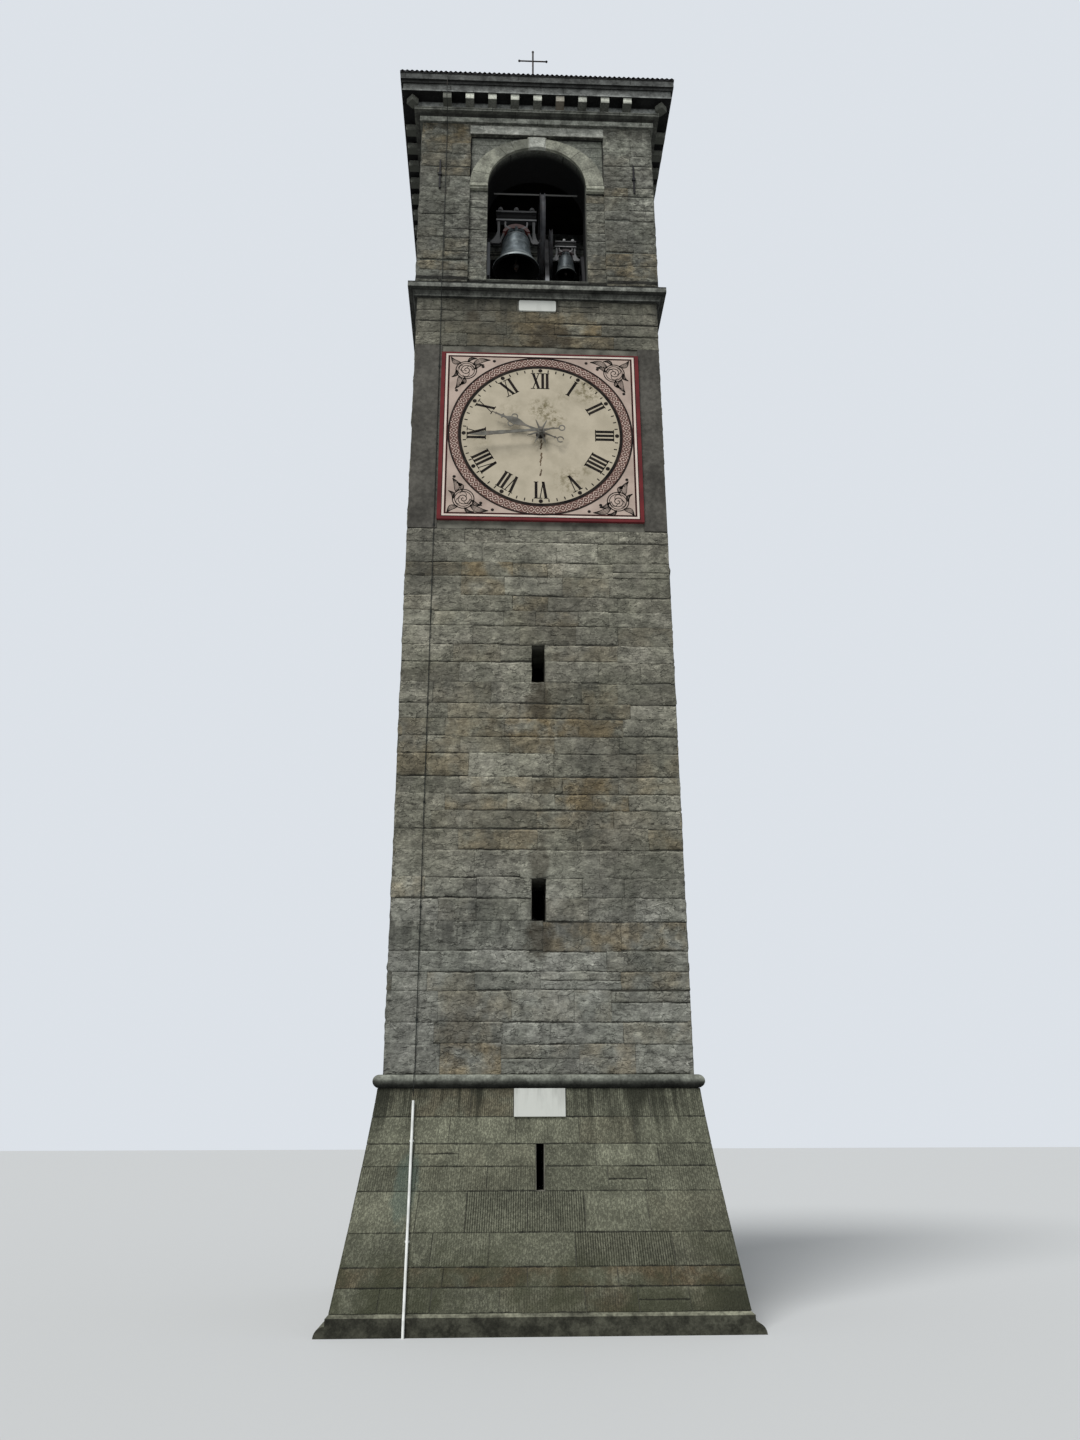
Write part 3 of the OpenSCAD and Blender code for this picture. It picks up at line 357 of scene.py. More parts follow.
def smudge(place, x, z, wide, high):  # soft-edged patch on the front face
    placeX, placeY, placeZ = place.axes()
    offX = (placeX - x) / wide
    offZ = (placeZ - z) / high
    ragged = (noise(place, 6.0, 4.0, 0.7) - 0.5) * 2.2
    return spread(offX * offX + offZ * offZ + ragged, 1.1, 0.2) * (placeY < 5.0)


def darken(place, body, runs, color):  # runs: the ledge's height, length, strength
    for top, length, amount in runs:
        mask = use(place.tree, drips, Vector=place, Top=top, Length=length)["Mask"]
        body = mixColor(mask * amount, body, color)
    return body


shaftLook = {
    "cool": (0.160, 0.152, 0.121), "light": (0.244, 0.234, 0.190), "green": (0.144, 0.146, 0.108),
    "ochre": (0.190, 0.146, 0.080), "dark": (0.045, 0.045, 0.039), "veil": (0.058, 0.055, 0.042),
    "wear": ((5.0, 4.0, 0.65, 0.17, 0.78, 1.22), (30.0, 3.0, 0.75, 0.16, 0.84, 1.18),
             ((0.55, 0.55, 0.8), 3.0, 0.6, 0.14, 0.76, 1.22)),
    "belfryTint": (0.96, 1.0, 1.07), "highTint": (0.93, 0.93, 0.93), "lowTint": (0.98, 1.02, 1.11),
    "tintsMeet": (6.4, 4.4),
    # painted shadow and highlight of a rock ledge, a dark line with a light rim: noise and brightness
    "ledges": ((0.44, 1.0), (0.480, 0.86), (0.499, 0.50), (0.512, 1.50), (0.535, 1.12), (0.57, 1.0)),
    "runs": ((15.58, 0.75, 0.75), (8.52, 0.5, 0.5), (4.97, 0.6, 0.6), (19.50, 0.8, 0.6)),
    "bands": ((15.975, 0.050, 0.92), (11.115, 0.018, 0.80)),  # height, half width, strength
    "slabs": (19.27, 19.285, 19.455, 19.475), "slabTint": (0.47, 0.475, 0.42), "slabReach": 1.21,
    "smudge": (0.042, 0.034, 0.022),
    # smudges: place on the front, half sizes, strength
    "smudges": ((0.24, 14.84, 0.50, 0.34, 0.80), (-1.08, 15.22, 0.14, 0.14, 0.6),
                (0.0, 8.25, 0.20, 0.40, 0.7), (0.0, 4.72, 0.22, 0.36, 0.7), (0.0, 5.85, 0.18, 0.30, 0.5)),
}


def shaftColour(tree, place, marks):  # each stone's own tone, with ochre patches
    body = mixColor(attribute(tree, "stoneTone"), shaftLook["cool"], shaftLook["light"])
    body = mixColor(marks["Cloud"] * 0.5, body, shaftLook["green"])
    ochre = attribute(tree, "stoneWarm") * spread(noise(place, 2.4, 4.0), 0.35, 0.62)
    return mixColor(ochre, body, shaftLook["ochre"])


def shaftSoot(place, body, wear):  # soot, runs, smudges, and the pale slabs over the arches
    across, depth, up = place.axes()
    foot = wall["belfryFoot"]
    body = mixColor(spread(noise(place, (0.9, 0.9, 0.35), 4.0), 0.5, 0.72) * 0.55, body, shaftLook["dark"])
    belfryTint = grey(spread(across, -1.6, 1.6, 0.93, 1.15), shaftLook["belfryTint"])
    body = mixColor(spread(up, foot - 0.2, foot), body, times(body, belfryTint))
    high, low = [times(body, shaftLook[tint]) for tint in ("highTint", "lowTint")]
    body = mixColor(spread(up, *shaftLook["tintsMeet"]), high, low)
    body = darken(place, body, shaftLook["runs"], shaftLook["dark"])
    besideArch = abs(across) < shaftLook["slabReach"]
    foot0, foot1, head1, head0 = shaftLook["slabs"]
    slab = spread(up, foot0, foot1) * spread(up, head0, head1) * besideArch
    body = mixColor(slab * 0.92, body, grey(wear, shaftLook["slabTint"]))
    veil = spread(up, 14.5, 14.7) * spread(up, 19.7, 19.5) * (1.0 - besideArch * (up > foot) * 0.7)
    clouds = spread(noise(place, (0.8, 0.8, 0.5), 4.0, 0.6), 0.36, 0.62)
    body = mixColor(veil * spread(clouds, 0.0, 1.0, 0.06, 0.50, smooth=False), body, shaftLook["veil"])
    for x, z, wide, high, amount in shaftLook["smudges"]:
        body = mixColor(smudge(place, x, z, wide, high) * amount, body, shaftLook["smudge"])
    for at, half, amount in shaftLook["bands"]:
        body = mixColor(spread(abs(up - at), half, half * 0.5) * amount, body, jointShade)
    return body


def shaftStone(tree):
    place = attribute(tree, "wallPlace", 1)
    marks = use(tree, grain, Vector=place, Scale=1.0)
    edges = use(tree, stoneEdges, Vector=place)
    up = place.axes()[2]
    facet = spread(noise(place, (6.5, 6.5, 12.0), 3.0, 0.6), 0.50, 0.56, 0.88, 1.10)
    wear = mottle(place, shaftLook["wear"]) * facet
    crisp = spread(noise(place, (7.0, 7.0, 11.0), 5.0, 0.72), 0.37, 0.63, 0.60, 1.50)
    crisp = mixColor(spread(up, 15.7, 15.9, 0.35, 1.0), (1.0, 1.0, 1.0), grey(crisp))
    dash = spread(noise(place, (3.6, 3.6, 15.0), 4.0, 0.65), 0.625, 0.69)
    ridge = noise(place, (3.4, 3.4, 6.4), 5.0, 0.60)
    # painted shadow and highlight of rock ledges, in patches
    broken = mixColor(spread(noise(place, 1.3, 3.0, 0.6), 0.42, 0.58), (1.04, 1.04, 1.04),
                      grey(tiers(ridge, shaftLook["ledges"])))
    # the stone's mottled wear, with a painted highlight along each stone's top and painted shade along its
    # foot
    wearAndLight = wear + edges["Lit"] * 0.65
    wearAndLight = wearAndLight * spread(edges["Under"], 0.0, 1.0, 1.0, 0.70) * spread(dash, 0.0, 1.0, 1.0, 0.45)
    body = times(times(times(shaftColour(tree, place, marks), grey(wearAndLight)), crisp), broken)
    body = shaftSoot(place, body, wear)
    body = mixColor(edges["Joint"] * 0.82, body, jointShade)
    height = marks["Height"] + noise(place, (5.0, 5.0, 15.0), 5.0, 0.66) * 0.7
    height = height + spread(ridge, 0.480, 0.520) * 0.40 - (dash + edges["Joint"]) * 0.4
    return {"Base Color": body, "Bump": (height, 1.0, 0.036)}


baseLook = {
    "body": (0.134, 0.136, 0.098), "light": (0.182, 0.184, 0.133), "brown": (0.105, 0.080, 0.048),
    "dark": (0.022, 0.023, 0.016), "moss": (0.050, 0.053, 0.031), "mossFades": (1.45, 0.45),
    "comb": 238.7616,  # turn of the tooled grooves in a metre, in radians: 38 grooves
    "wear": ((3.6, 5.0, 0.68, 0.17, 0.84, 1.18), ((0.7, 0.7, 0.9), 3.0, 0.6, 0.14, 0.84, 1.16)),
    "copper": (0.092, 0.130, 0.108), "copperPatch": (-1.55, 1.62, 0.17, 0.50),
}


def baseStone(tree):
    place = attribute(tree, "wallPlace", 1)
    comb = attribute(tree, "stoneComb")
    marks = use(tree, grain, Vector=place, Scale=1.3)
    edges = use(tree, stoneEdges, Vector=place)
    across, depth, up = place.axes()
    wander = noise(place, (2.0, 2.0, 1.2), 2.0) * 3.2
    line = calc("SINE", across * baseLook["comb"] + wander)
    pecks = spread(noise(place, (58.0, 58.0, 30.0), 3.0, 0.7), 0.38, 0.62)
    body = mixColor(attribute(tree, "stoneTone"), baseLook["body"], baseLook["light"])
    brown = attribute(tree, "stoneWarm") * spread(noise(place, 2.6, 4.0), 0.3, 0.6)
    body = mixColor(brown, body, baseLook["brown"])
    wear = mottle(place, baseLook["wear"]) * spread(pecks, 0.0, 1.0, 0.66, 1.30, smooth=False)
    # darker along the tooled grooves as painted shade in them, and a faint painted highlight along each
    # stone's top
    combed = 1.0 - comb * 0.78 * spread(line, -0.2, -1.0)
    body = times(body, grey((wear + edges["Lit"] * 0.25) * combed))
    body = mixColor(smudge(place, *baseLook["copperPatch"]) * 0.55, body, baseLook["copper"])
    moss = spread(up, *baseLook["mossFades"]) * spread(noise(place, 1.7, 5.0), 0.36, 0.60)
    body = mixColor(moss * 0.85, body, baseLook["moss"])
    body = darken(place, body, ((2.80, 1.05, 0.85),), baseLook["dark"])
    body = mixColor(spread(noise(place, 0.8, 4.0), 0.52, 0.75) * 0.55, body, baseLook["dark"])
    body = mixColor(edges["Joint"] * 0.8, body, jointShade)
    groove = spread(line, -1.0, 1.0, smooth=False) * comb
    return {"Base Color": body, "Bump": (groove * 0.9 + pecks * 0.6 + marks["Height"], 0.85, 0.012)}


facings = {  # painted light and shade: brightness by the way a face looks, from straight down to straight up
    "plain": ((-1.0, 0.30), (-0.4, 0.55), (0.0, 1.0), (1.0, 1.0)),
    "soffit": ((-1.0, 0.08), (-0.5, 0.20), (-0.1, 1.0), (1.0, 1.0)),
    "round": ((-1.0, 0.10), (-0.55, 0.16), (-0.1, 0.42), (0.35, 1.0), (1.0, 1.25)),
    "paintedLight": ((-1.0, 0.2), (0.0, 0.36), (0.25, 0.55), (0.7, 1.0), (1.0, 1.0)),
}
levels = {  # painted light and shade by height, with some staining: bright fillets, dark hollows and shadow lines under ledges; brightness from the foot of a course to its top
    "torus": ((2.79, 0.150), (2.98, 0.150)),
    "plinth": ((0.0, 0.15), (0.06, 0.13), (0.26, 0.155)),
    "lowCornice": ((15.57, 0.05), (15.585, 0.16), (15.60, 0.20), (15.615, 0.12), (15.672, 0.12),
                   (15.680, 0.03), (15.692, 0.15), (15.765, 0.20), (15.775, 0.03), (15.795, 0.02),
                   (15.80, 0.10), (15.91, 0.10)),
    "architrave": ((19.49, 0.30), (19.590, 0.36), (19.603, 0.28), (19.613, 0.10), (19.654, 0.085),
                   (19.663, 0.24), (19.690, 0.27), (19.697, 0.04), (19.706, 0.04), (19.712, 0.26),
                   (19.74, 0.28)),
    "modillions": ((19.73, 0.28), (19.765, 0.50), (19.80, 0.60), (19.87, 0.50)),
    "eaves": ((19.73, 0.36), (19.79, 0.30), (19.83, 0.22), (19.864, 0.02), (19.867, 0.22), (19.894, 0.20),
              (19.902, 0.15), (19.97, 0.10), (20.040, 0.085), (20.048, 0.05), (20.056, 0.008), (20.068, 0.05),
              (20.10, 0.06), (20.11, 0.085), (20.25, 0.065)),
}
courseLook = {"band": 0.115, "shift": 0.41, "joint": (0.011, 0.003), "shade": (0.012, 0.012, 0.010)}


def shadedAndWeathered(course, facing="plain", tint=(1.0, 1.02, 0.88), blocks=1.18, patch=1.0, joints=1.0):
    def build(tree):
        place = objectPlace(tree)
        up = place.axes()[2]
        marks = use(tree, grain, Vector=place, Scale=1.4)
        # painted light and shade: brightness by height and by the way the face looks
        bright = tiers(up, levels[course]) * tiers(faceNormal(tree).axes()[2], facings[facing])
        bands = calc("FLOOR", up / courseLook["band"])  # each band of a moulding has joints of its own
        block = (use(tree, alongWall)["Along"] + bands * courseLook["shift"]) / blocks
        near = (0.5 - abs(calc("FRACT", block) - 0.5)) * blocks
        joint = spread(near, *courseLook["joint"]) * joints
        blockTone = get(tree, "ShaderNodeTexWhiteNoise", {"W": calc("FLOOR", block)}, noise_dimensions="1D")
        wear = mottle(place, ((5.0, 5.0, 0.66, 0.18, 1.0 - 0.5 * patch, 1.0 + 0.38 * patch),
                              (26.0, 3.0, 0.7, 0.18, 0.75, 1.25)))
        wear = wear * spread(blockTone, 0.0, 1.0, 0.80, 1.15, smooth=False)
        body = mixColor(joint, grey(bright * wear, tint), courseLook["shade"])
        return {"Base Color": body, "Bump": (marks["Height"] - joint, 0.8, 0.016)}
    return build


modillionLook = {"reach": 0.15, "corner": 1.90, "darkAt": -1.632, "brownAt": 0.408,
                 "dark": (0.05, 0.052, 0.043), "brown": (0.17, 0.135, 0.10)}


def modillionStone(tree):
    parts = shadedAndWeathered("modillions", patch=0.5, joints=0.0)(tree)
    along = use(tree, alongWall)["Along"]
    brown = abs(along - modillionLook["brownAt"]) < modillionLook["reach"]
    dark = abs(along - modillionLook["darkAt"]) < modillionLook["reach"]
    body = mixColor(brown * 0.5, parts["Base Color"], modillionLook["brown"])
    dark = calc("MAXIMUM", dark, abs(along) > modillionLook["corner"])
    parts["Base Color"] = mixColor(dark * 0.8, body, modillionLook["dark"])
    return parts


insideLook = {
    "wear": ((7.0, 4.0, 0.65, 0.17, 0.72, 1.26), (30.0, 3.0, 0.75, 0.16, 0.70, 1.32)),
    # levels: dark lines of painted shadow at the foot, at the springing and over the recessed panel
    "levels": ((15.92, 0.03), (15.945, 0.04), (15.95, 0.140), (17.955, 0.140), (17.965, 0.015),
               (17.998, 0.015), (18.003, 0.145), (19.225, 0.145), (19.238, 0.015), (19.27, 0.015),
               (19.30, 0.145)),
    "joints": (18.34, 18.62, 18.86, 19.08), "joint": (0.02, 0.02, 0.018), "upright": 1.192,
    "line": (0.012, 0.012, 0.011),
    "tints": ((1.0, 1.01, 0.88), (0.92, 0.97, 0.80)), "deep": (0.004, 0.004, 0.004),
}


def insidePlaster(tree):  # stone at the face of the belfry, with painted shade: black towards the chamber
    place = objectPlace(tree)
    x, y, z = place.axes()
    marks = use(tree, grain, Vector=place, Scale=0.8)
    bright = mottle(place, insideLook["wear"]) * tiers(z, insideLook["levels"])
    body = mixColor(marks["Cloud"], *[grey(bright, tint) for tint in insideLook["tints"]])
    ragged = (noise(place, 15.0, 4.0, 0.7) - 0.5) * 0.03
    for at in insideLook["joints"]:
        body = mixColor(spread(abs(z - at + ragged), 0.010, 0.003) * 0.8, body, insideLook["joint"])
    # painted shadow line along the upright edge of the recessed panel
    nearer = calc("MINIMUM", abs(x), abs(y))
    sideLine = spread(abs(nearer - insideLook["upright"]), 0.016, 0.008) * (z > wall["spring"] + 0.01)
    body = mixColor(sideLine * 0.85, body, insideLook["line"])
    # painted shade: black deeper into the chamber and on faces that look down
    depth = wall["belfry"] - calc("MAXIMUM", abs(x), abs(y))
    overhead = spread(faceNormal(tree).axes()[2], -0.02, -0.20)
    body = mixColor(spread(depth + overhead * 0.20, 0.10, 0.46), body, insideLook["deep"])
    return {"Base Color": body, "Bump": (marks["Height"], 0.8, 0.016)}


paleLook = {
    "stone": (0.245, 0.247, 0.198), "keystone": (0.38, 0.385, 0.34), "keyHalf": 0.155, "keyFoot": 18.9,
    "wear": ((5.5, 5.0, 0.66, 0.16, 0.62, 1.22), (30.0, 3.0, 0.7, 0.18, 0.76, 1.22)),
    "levels": ((17.98, 1.0), (18.046, 1.05), (18.052, 1.30), (18.108, 1.30), (18.113, 0.07), (18.132, 0.07),
               (18.138, 1.0), (18.2, 1.0)),
    "lost": (0.095, 0.098, 0.080), "crack": (0.38, 0.38, 0.34),
}


def paleStone(tree):
    place = objectPlace(tree)
    x, y, z = place.axes()
    marks = use(tree, grain, Vector=place, Scale=1.6)
    bright = mottle(place, paleLook["wear"]) * tiers(z, paleLook["levels"])
    isKey = (calc("MINIMUM", abs(x), abs(y)) < paleLook["keyHalf"]) * (z > paleLook["keyFoot"])
    body = times(mixColor(isKey, paleLook["stone"], paleLook["keystone"]), grey(bright))
    onFront = spread(x, -0.82, -0.72) * spread(x, -0.15, -0.19) * spread(z, 18.72, 18.80) * (y < -1.0)
    body = mixColor(onFront * 0.6, body, paleLook["lost"])  # where the front ring has lost its face
    crack = spread(abs(noise(place, 4.3, 3.0, 0.6) - 0.5), 0.016, 0.006)
    body = mixColor(onFront * crack * 0.25, body, paleLook["crack"])
    return {"Base Color": body, "Bump": (marks["Height"], 0.9, 0.016)}


def marble(tree):
    place = objectPlace(tree)
    marks = use(tree, grain, Vector=place, Scale=3.0)
    vein = spread(noise(place, (5.0, 5.0, 1.2), 5.0, 0.7), 0.5, 0.72)
    body = mixColor(vein * 0.30, (0.52, 0.53, 0.49), (0.34, 0.35, 0.32))
    body = darken(place, body, ((2.80, 0.5, 0.35),), (0.22, 0.22, 0.20))
    return {"Base Color": body, "Bump": (marks["Height"], 0.3, 0.004)}


def greyRender(tree):
    place = objectPlace(tree)
    marks = use(tree, grain, Vector=place, Scale=2.4)
    bright = mottle(place, ((1.6, 5.0, 0.65, 0.16, 0.70, 1.28), (14.0, 4.0, 0.7, 0.16, 0.80, 1.22)))
    return {"Base Color": grey(bright, (0.074, 0.070, 0.060)), "Bump": (marks["Height"], 0.7, 0.010)}


def clouded(low, high, scale, strength, distance, stretched=(1.0, 1.0, 1.0)):  # two shades in soft clouds
    def build(tree):
        place = get(tree, "ShaderNodeMapping", {"Vector": objectPlace(tree), "Scale": stretched})
        marks = use(tree, grain, Vector=place, Scale=scale)
        body = mixColor(marks["Cloud"], low, high)
        return {"Base Color": body, "Bump": (marks["Height"], strength, distance)}
    return build


roofLook = {"sheet": ((0.040, 0.034, 0.030), (0.090, 0.080, 0.068)), "lichen": (0.15, 0.15, 0.11),
            "edge": (0.010, 0.010, 0.011), "edgeAt": (2.44, 2.49)}


def roofSheet(tree):
    place = objectPlace(tree)
    x, y, z = place.axes()
    marks = use(tree, grain, Vector=place, Scale=1.1)
    body = mixColor(marks["Cloud"], *roofLook["sheet"])
    lichen = spread(noise(place, 6.0, 5.0, 0.7), 0.56, 0.66)
    body = mixColor(lichen * 0.4, body, roofLook["lichen"])
    out = calc("MAXIMUM", abs(x), abs(y))
    body = mixColor(spread(out, *roofLook["edgeAt"]), body, roofLook["edge"])  # darker eaves edge, painted shade under the sheets' overhang
    return {"Base Color": body, "Bump": (marks["Height"], 0.4, 0.004)}


# Metals

def metal(low, high, rust=0.0):
    def build(tree):
        place = objectPlace(tree)
        marks = use(tree, grain, Vector=place, Scale=4.0)
        body = mixColor(marks["Cloud"], low, high)
        if rust:
            flaw = spread(noise(place, 9.0, 5.0, 0.7), 0.5, 0.64)
            body = mixColor(flaw * rust, body, (0.12, 0.045, 0.018))
        rough = spread(marks["Speckle"], 0.0, 1.0, 0.45, 0.72, smooth=False)
        return {"Base Color": body, "Roughness": rough, "Bump": (marks["Height"], 0.35, 0.002)}
    return build


bells = {  # size: against the big bell's yoke; axis: height of the journals; shoulder: above the mouth
    "big": {"x": middleOf("big_bell", "x"), "y": middleOf("big_bell", "y"), "mouth": lowOf("big_bell", "z"),
            "shoulder": 0.79, "axis": 17.71, "size": 1.0},
    "small": {"x": middleOf("small_bell", "x"), "y": middleOf("small_bell", "y"),
              "mouth": lowOf("small_bell", "z"), "shoulder": 0.435, "axis": 17.34, "size": 0.589},
}
bronzeLook = {
    "dark": (0.078, 0.094, 0.100), "light": (0.205, 0.238, 0.252), "band": (0.36, 0.39, 0.38),
    "streak": (0.36, 0.41, 0.42), "inside": (0.005, 0.005, 0.005),
    # bands: height, half width, strength; the band at the lip is a painted highlight
    "bands": ((0.05, 0.055, 0.9), (0.20, 0.015, 0.6), (0.24, 0.012, 0.5), (0.62, 0.015, 0.4),
              (0.86, 0.02, 0.6)),
}


def bronze(bell, bright=1.0):
    def build(tree):  # cast bronze with paler bands; the bright lip is a painted highlight, and painted shade makes it black inside
        place = objectPlace(tree)
        facing = faceNormal(tree)
        marks = use(tree, grain, Vector=place, Scale=2.5)
        level = (place.axes()[2] - bell["mouth"]) / bell["shoulder"]
        body = mixColor(marks["Cloud"], bronzeLook["dark"], bronzeLook["light"])
        for at, wide, amount in bronzeLook["bands"]:
            body = mixColor(spread(abs(level - at), wide, wide * 0.3) * amount, body, bronzeLook["band"])
        # pale streaks on the bronze, partly a painted sheen
        streak = spread(noise(place, (8.0, 8.0, 5.0), 5.0, 0.7), 0.48, 0.66)
        body = mixColor(streak * 0.5, body, bronzeLook["streak"])
        # painted shade: faces turned inwards or down are black
        outward = vector("MULTIPLY", vector("SUBTRACT", place, (bell["x"], bell["y"], 0.0)), (1.0, 1.0, 0.0))
        inner = vector("DOT_PRODUCT", facing, outward, out=1) < 0.0
        below = facing.axes()[2] < -0.5
        body = mixColor(calc("MAXIMUM", inner, below), body, bronzeLook["inside"])
        # painted shade: the whole bell darkened by bright, for the small bell's copy
        body = mixColor(1.0, body, (bright, bright, bright), "MULTIPLY")
        return {"Base Color": body, "Bump": (marks["Height"], 0.4, 0.005)}
    return build


yokeLook = {  # measures of the big yoke, from its axis
    "levels": ((-0.1, 0.23), (0.470, 0.25), (0.480, 0.44), (0.516, 0.38), (0.530, 0.015), (0.60, 0.04),
               (0.66, 0.015), (0.688, 0.015), (0.692, 0.24), (0.74, 0.26)),
    # saddleUnder and under: colours of painted shade on faces that look down
    "saddleAt": (0.0, 0.134), "saddleRadius": 0.275, "saddleFoot": 0.19, "saddleUnder": (0.16, 0.040, 0.034),
    "strapAt": (0.041, 0.440), "strapRadius": 0.164, "strapHalf": 0.018, "strapTop": 0.478,
    "strap": (0.42, 0.41, 0.41), "under": (0.020, 0.020, 0.022),
}


def yokeIron(bell, saddleShade, red):
    def build(tree):  # light flanges, bars and straps, a dark beam, a rust-red saddle; painted shade on faces that look down
        place = objectPlace(tree)
        x, y, z = place.axes()
        marks = use(tree, grain, Vector=place, Scale=5.0)
        across = abs(x - bell["x"]) / bell["size"]
        up = (z - bell["axis"]) / bell["size"]

        def away(dx, dz):
            return vector("LENGTH", combine(across - dx, up - dz), (0, 0, 0), out=1)

        saddle = (away(*yokeLook["saddleAt"]) < yokeLook["saddleRadius"]) * (up > yokeLook["saddleFoot"])
        body = mixColor(saddle, grey(tiers(up, yokeLook["levels"])), saddleShade)
        strap = abs(away(*yokeLook["strapAt"]) - yokeLook["strapRadius"]) < yokeLook["strapHalf"]
        body = mixColor(strap * (up < yokeLook["strapTop"]), body, yokeLook["strap"])
        body = times(body, grey(spread(marks["Speckle"], 0.0, 1.0, 0.6, 1.2, smooth=False)))
        turned = faceNormal(tree).axes()[2]
        # painted shade on faces that look down: darker red under the saddle, near black elsewhere
        body = mixColor(saddle * red * spread(turned, -0.2, -0.5), body, yokeLook["saddleUnder"])
        body = mixColor((1.0 - saddle) * spread(turned, -0.4, -0.8), body, yokeLook["under"])
        return {"Base Color": body, "Bump": (marks["Height"], 0.35, 0.002)}
    return build


def tieIron(tree):  # light rods across the arches, black anchor bars on the piers
    x, y, z = objectPlace(tree).axes()
    inArch = calc("MINIMUM", abs(x), abs(y)) < 1.3
    return {"Base Color": mixColor(inArch, (0.012, 0.012, 0.013), (0.17, 0.168, 0.160))}


# right: painted shade on the posts to the right; the pale colour is painted light at the feet and on the left
# bar
frameLook = {"iron": ((0.014, 0.014, 0.015), (0.034, 0.034, 0.036)), "right": (0.012, 0.012, 0.013),
             "paintedLight": (0.22, 0.225, 0.235), "lightAtFeet": (16.62, 16.45), "leftBar": (-0.80, 16.55, 17.5)}


def frameIron(tree):  # dark posts, with painted light at their feet and along the left jamb, and painted shade on the posts to the right
    place = objectPlace(tree)
    x, y, z = place.axes()
    marks = use(tree, grain, Vector=place, Scale=4.0)
    body = mixColor(marks["Cloud"], *frameLook["iron"])
    # painted shade on the posts to the right
    body = mixColor(x > 0.5, body, frameLook["right"])
    # painted light at the feet of the middle posts and on the left bar
    foot = spread(z, *frameLook["lightAtFeet"]) * 0.75 * (abs(x) < 0.5)
    edge, low, high = frameLook["leftBar"]
    leftBar = (x < edge) * (z > low) * (z < high)
    body = mixColor(calc("MAXIMUM", foot, leftBar), body, frameLook["paintedLight"])
    return {"Base Color": body, "Bump": (marks["Height"], 0.35, 0.002)}


# Clock panel

clock = {
    "x": middleOf("clock_panel", "x"), "z": middleOf("clock_panel", "z"), "face": lowOf("clock_panel", "y"),
    "bandOut": 1.490, "bandIn": 1.31, "redX": 1.545, "redZ": 1.540, "redRise": 0.012,
    "stain": (0.16, 0.135, 0.075),
    # stains: place on the dial, width, strength
    "stains": ((0.02, 0.50, 0.30, 1.0), (0.22, 0.30, 0.26, 0.95), (0.76, 0.86, 0.34, 0.95),
               (0.45, -0.86, 0.34, 0.7), (0.72, -0.66, 0.16, 0.6), (-0.50, 0.45, 0.3, 0.25),
               (0.35, 0.72, 0.2, 0.35), (-0.95, -0.1, 0.2, 0.4), (0.0, -0.1, 0.22, 0.5)),
    "dial": ((0.47, 0.415, 0.315), (0.38, 0.335, 0.25)), "peel": (0.27, 0.24, 0.18),
    "corner": ((0.47, 0.375, 0.315), (0.34, 0.265, 0.222)),
    "band": ((0.090, 0.050, 0.042), (0.20, 0.115, 0.095)),
    "border": ((0.150, 0.024, 0.026), (0.095, 0.018, 0.020)),
}


def plaster(tree):  # dial, corners and red border of the painted panel
    place = objectPlace(tree)
    placeX, placeY, placeZ = place.axes()
    x = placeX - clock["x"]
    z = placeZ - clock["z"]
    marks = use(tree, grain, Vector=place, Scale=1.8)
    patchy = spread(noise(place, 11.0, 5.0, 0.75), 0.44, 0.60)
    dial = mixColor(marks["Cloud"], *clock["dial"])
    for stainX, stainZ, wide, amount in clock["stains"]:
        offX = x - stainX
        offZ = z - stainZ
        spot = spread(calc("SQRT", offX * offX + offZ * offZ), wide, wide * 0.2) * patchy
        dial = mixColor(spot * amount, dial, clock["stain"])
    dial = mixColor(spread(noise(place, 22.0, 4.0, 0.7), 0.64, 0.7) * 0.35, dial, clock["peel"])
    radius = calc("SQRT", x * x + z * z)
    body = mixColor(radius < clock["bandOut"], mixColor(marks["Cloud"], *clock["corner"]),
                    mixColor(marks["Speckle"], *clock["band"]))
    body = mixColor(radius < clock["bandIn"], body, dial)
    border = calc("MAXIMUM", abs(x) > clock["redX"], abs(z - clock["redRise"]) > clock["redZ"])
    body = mixColor(border, body, mixColor(marks["Cloud"], *clock["border"]))
    return {"Base Color": body, "Bump": (marks["Height"], 0.3, 0.004)}


def paint(low, high):
    return clouded(low, high, 3.0, 0.2, 0.003)


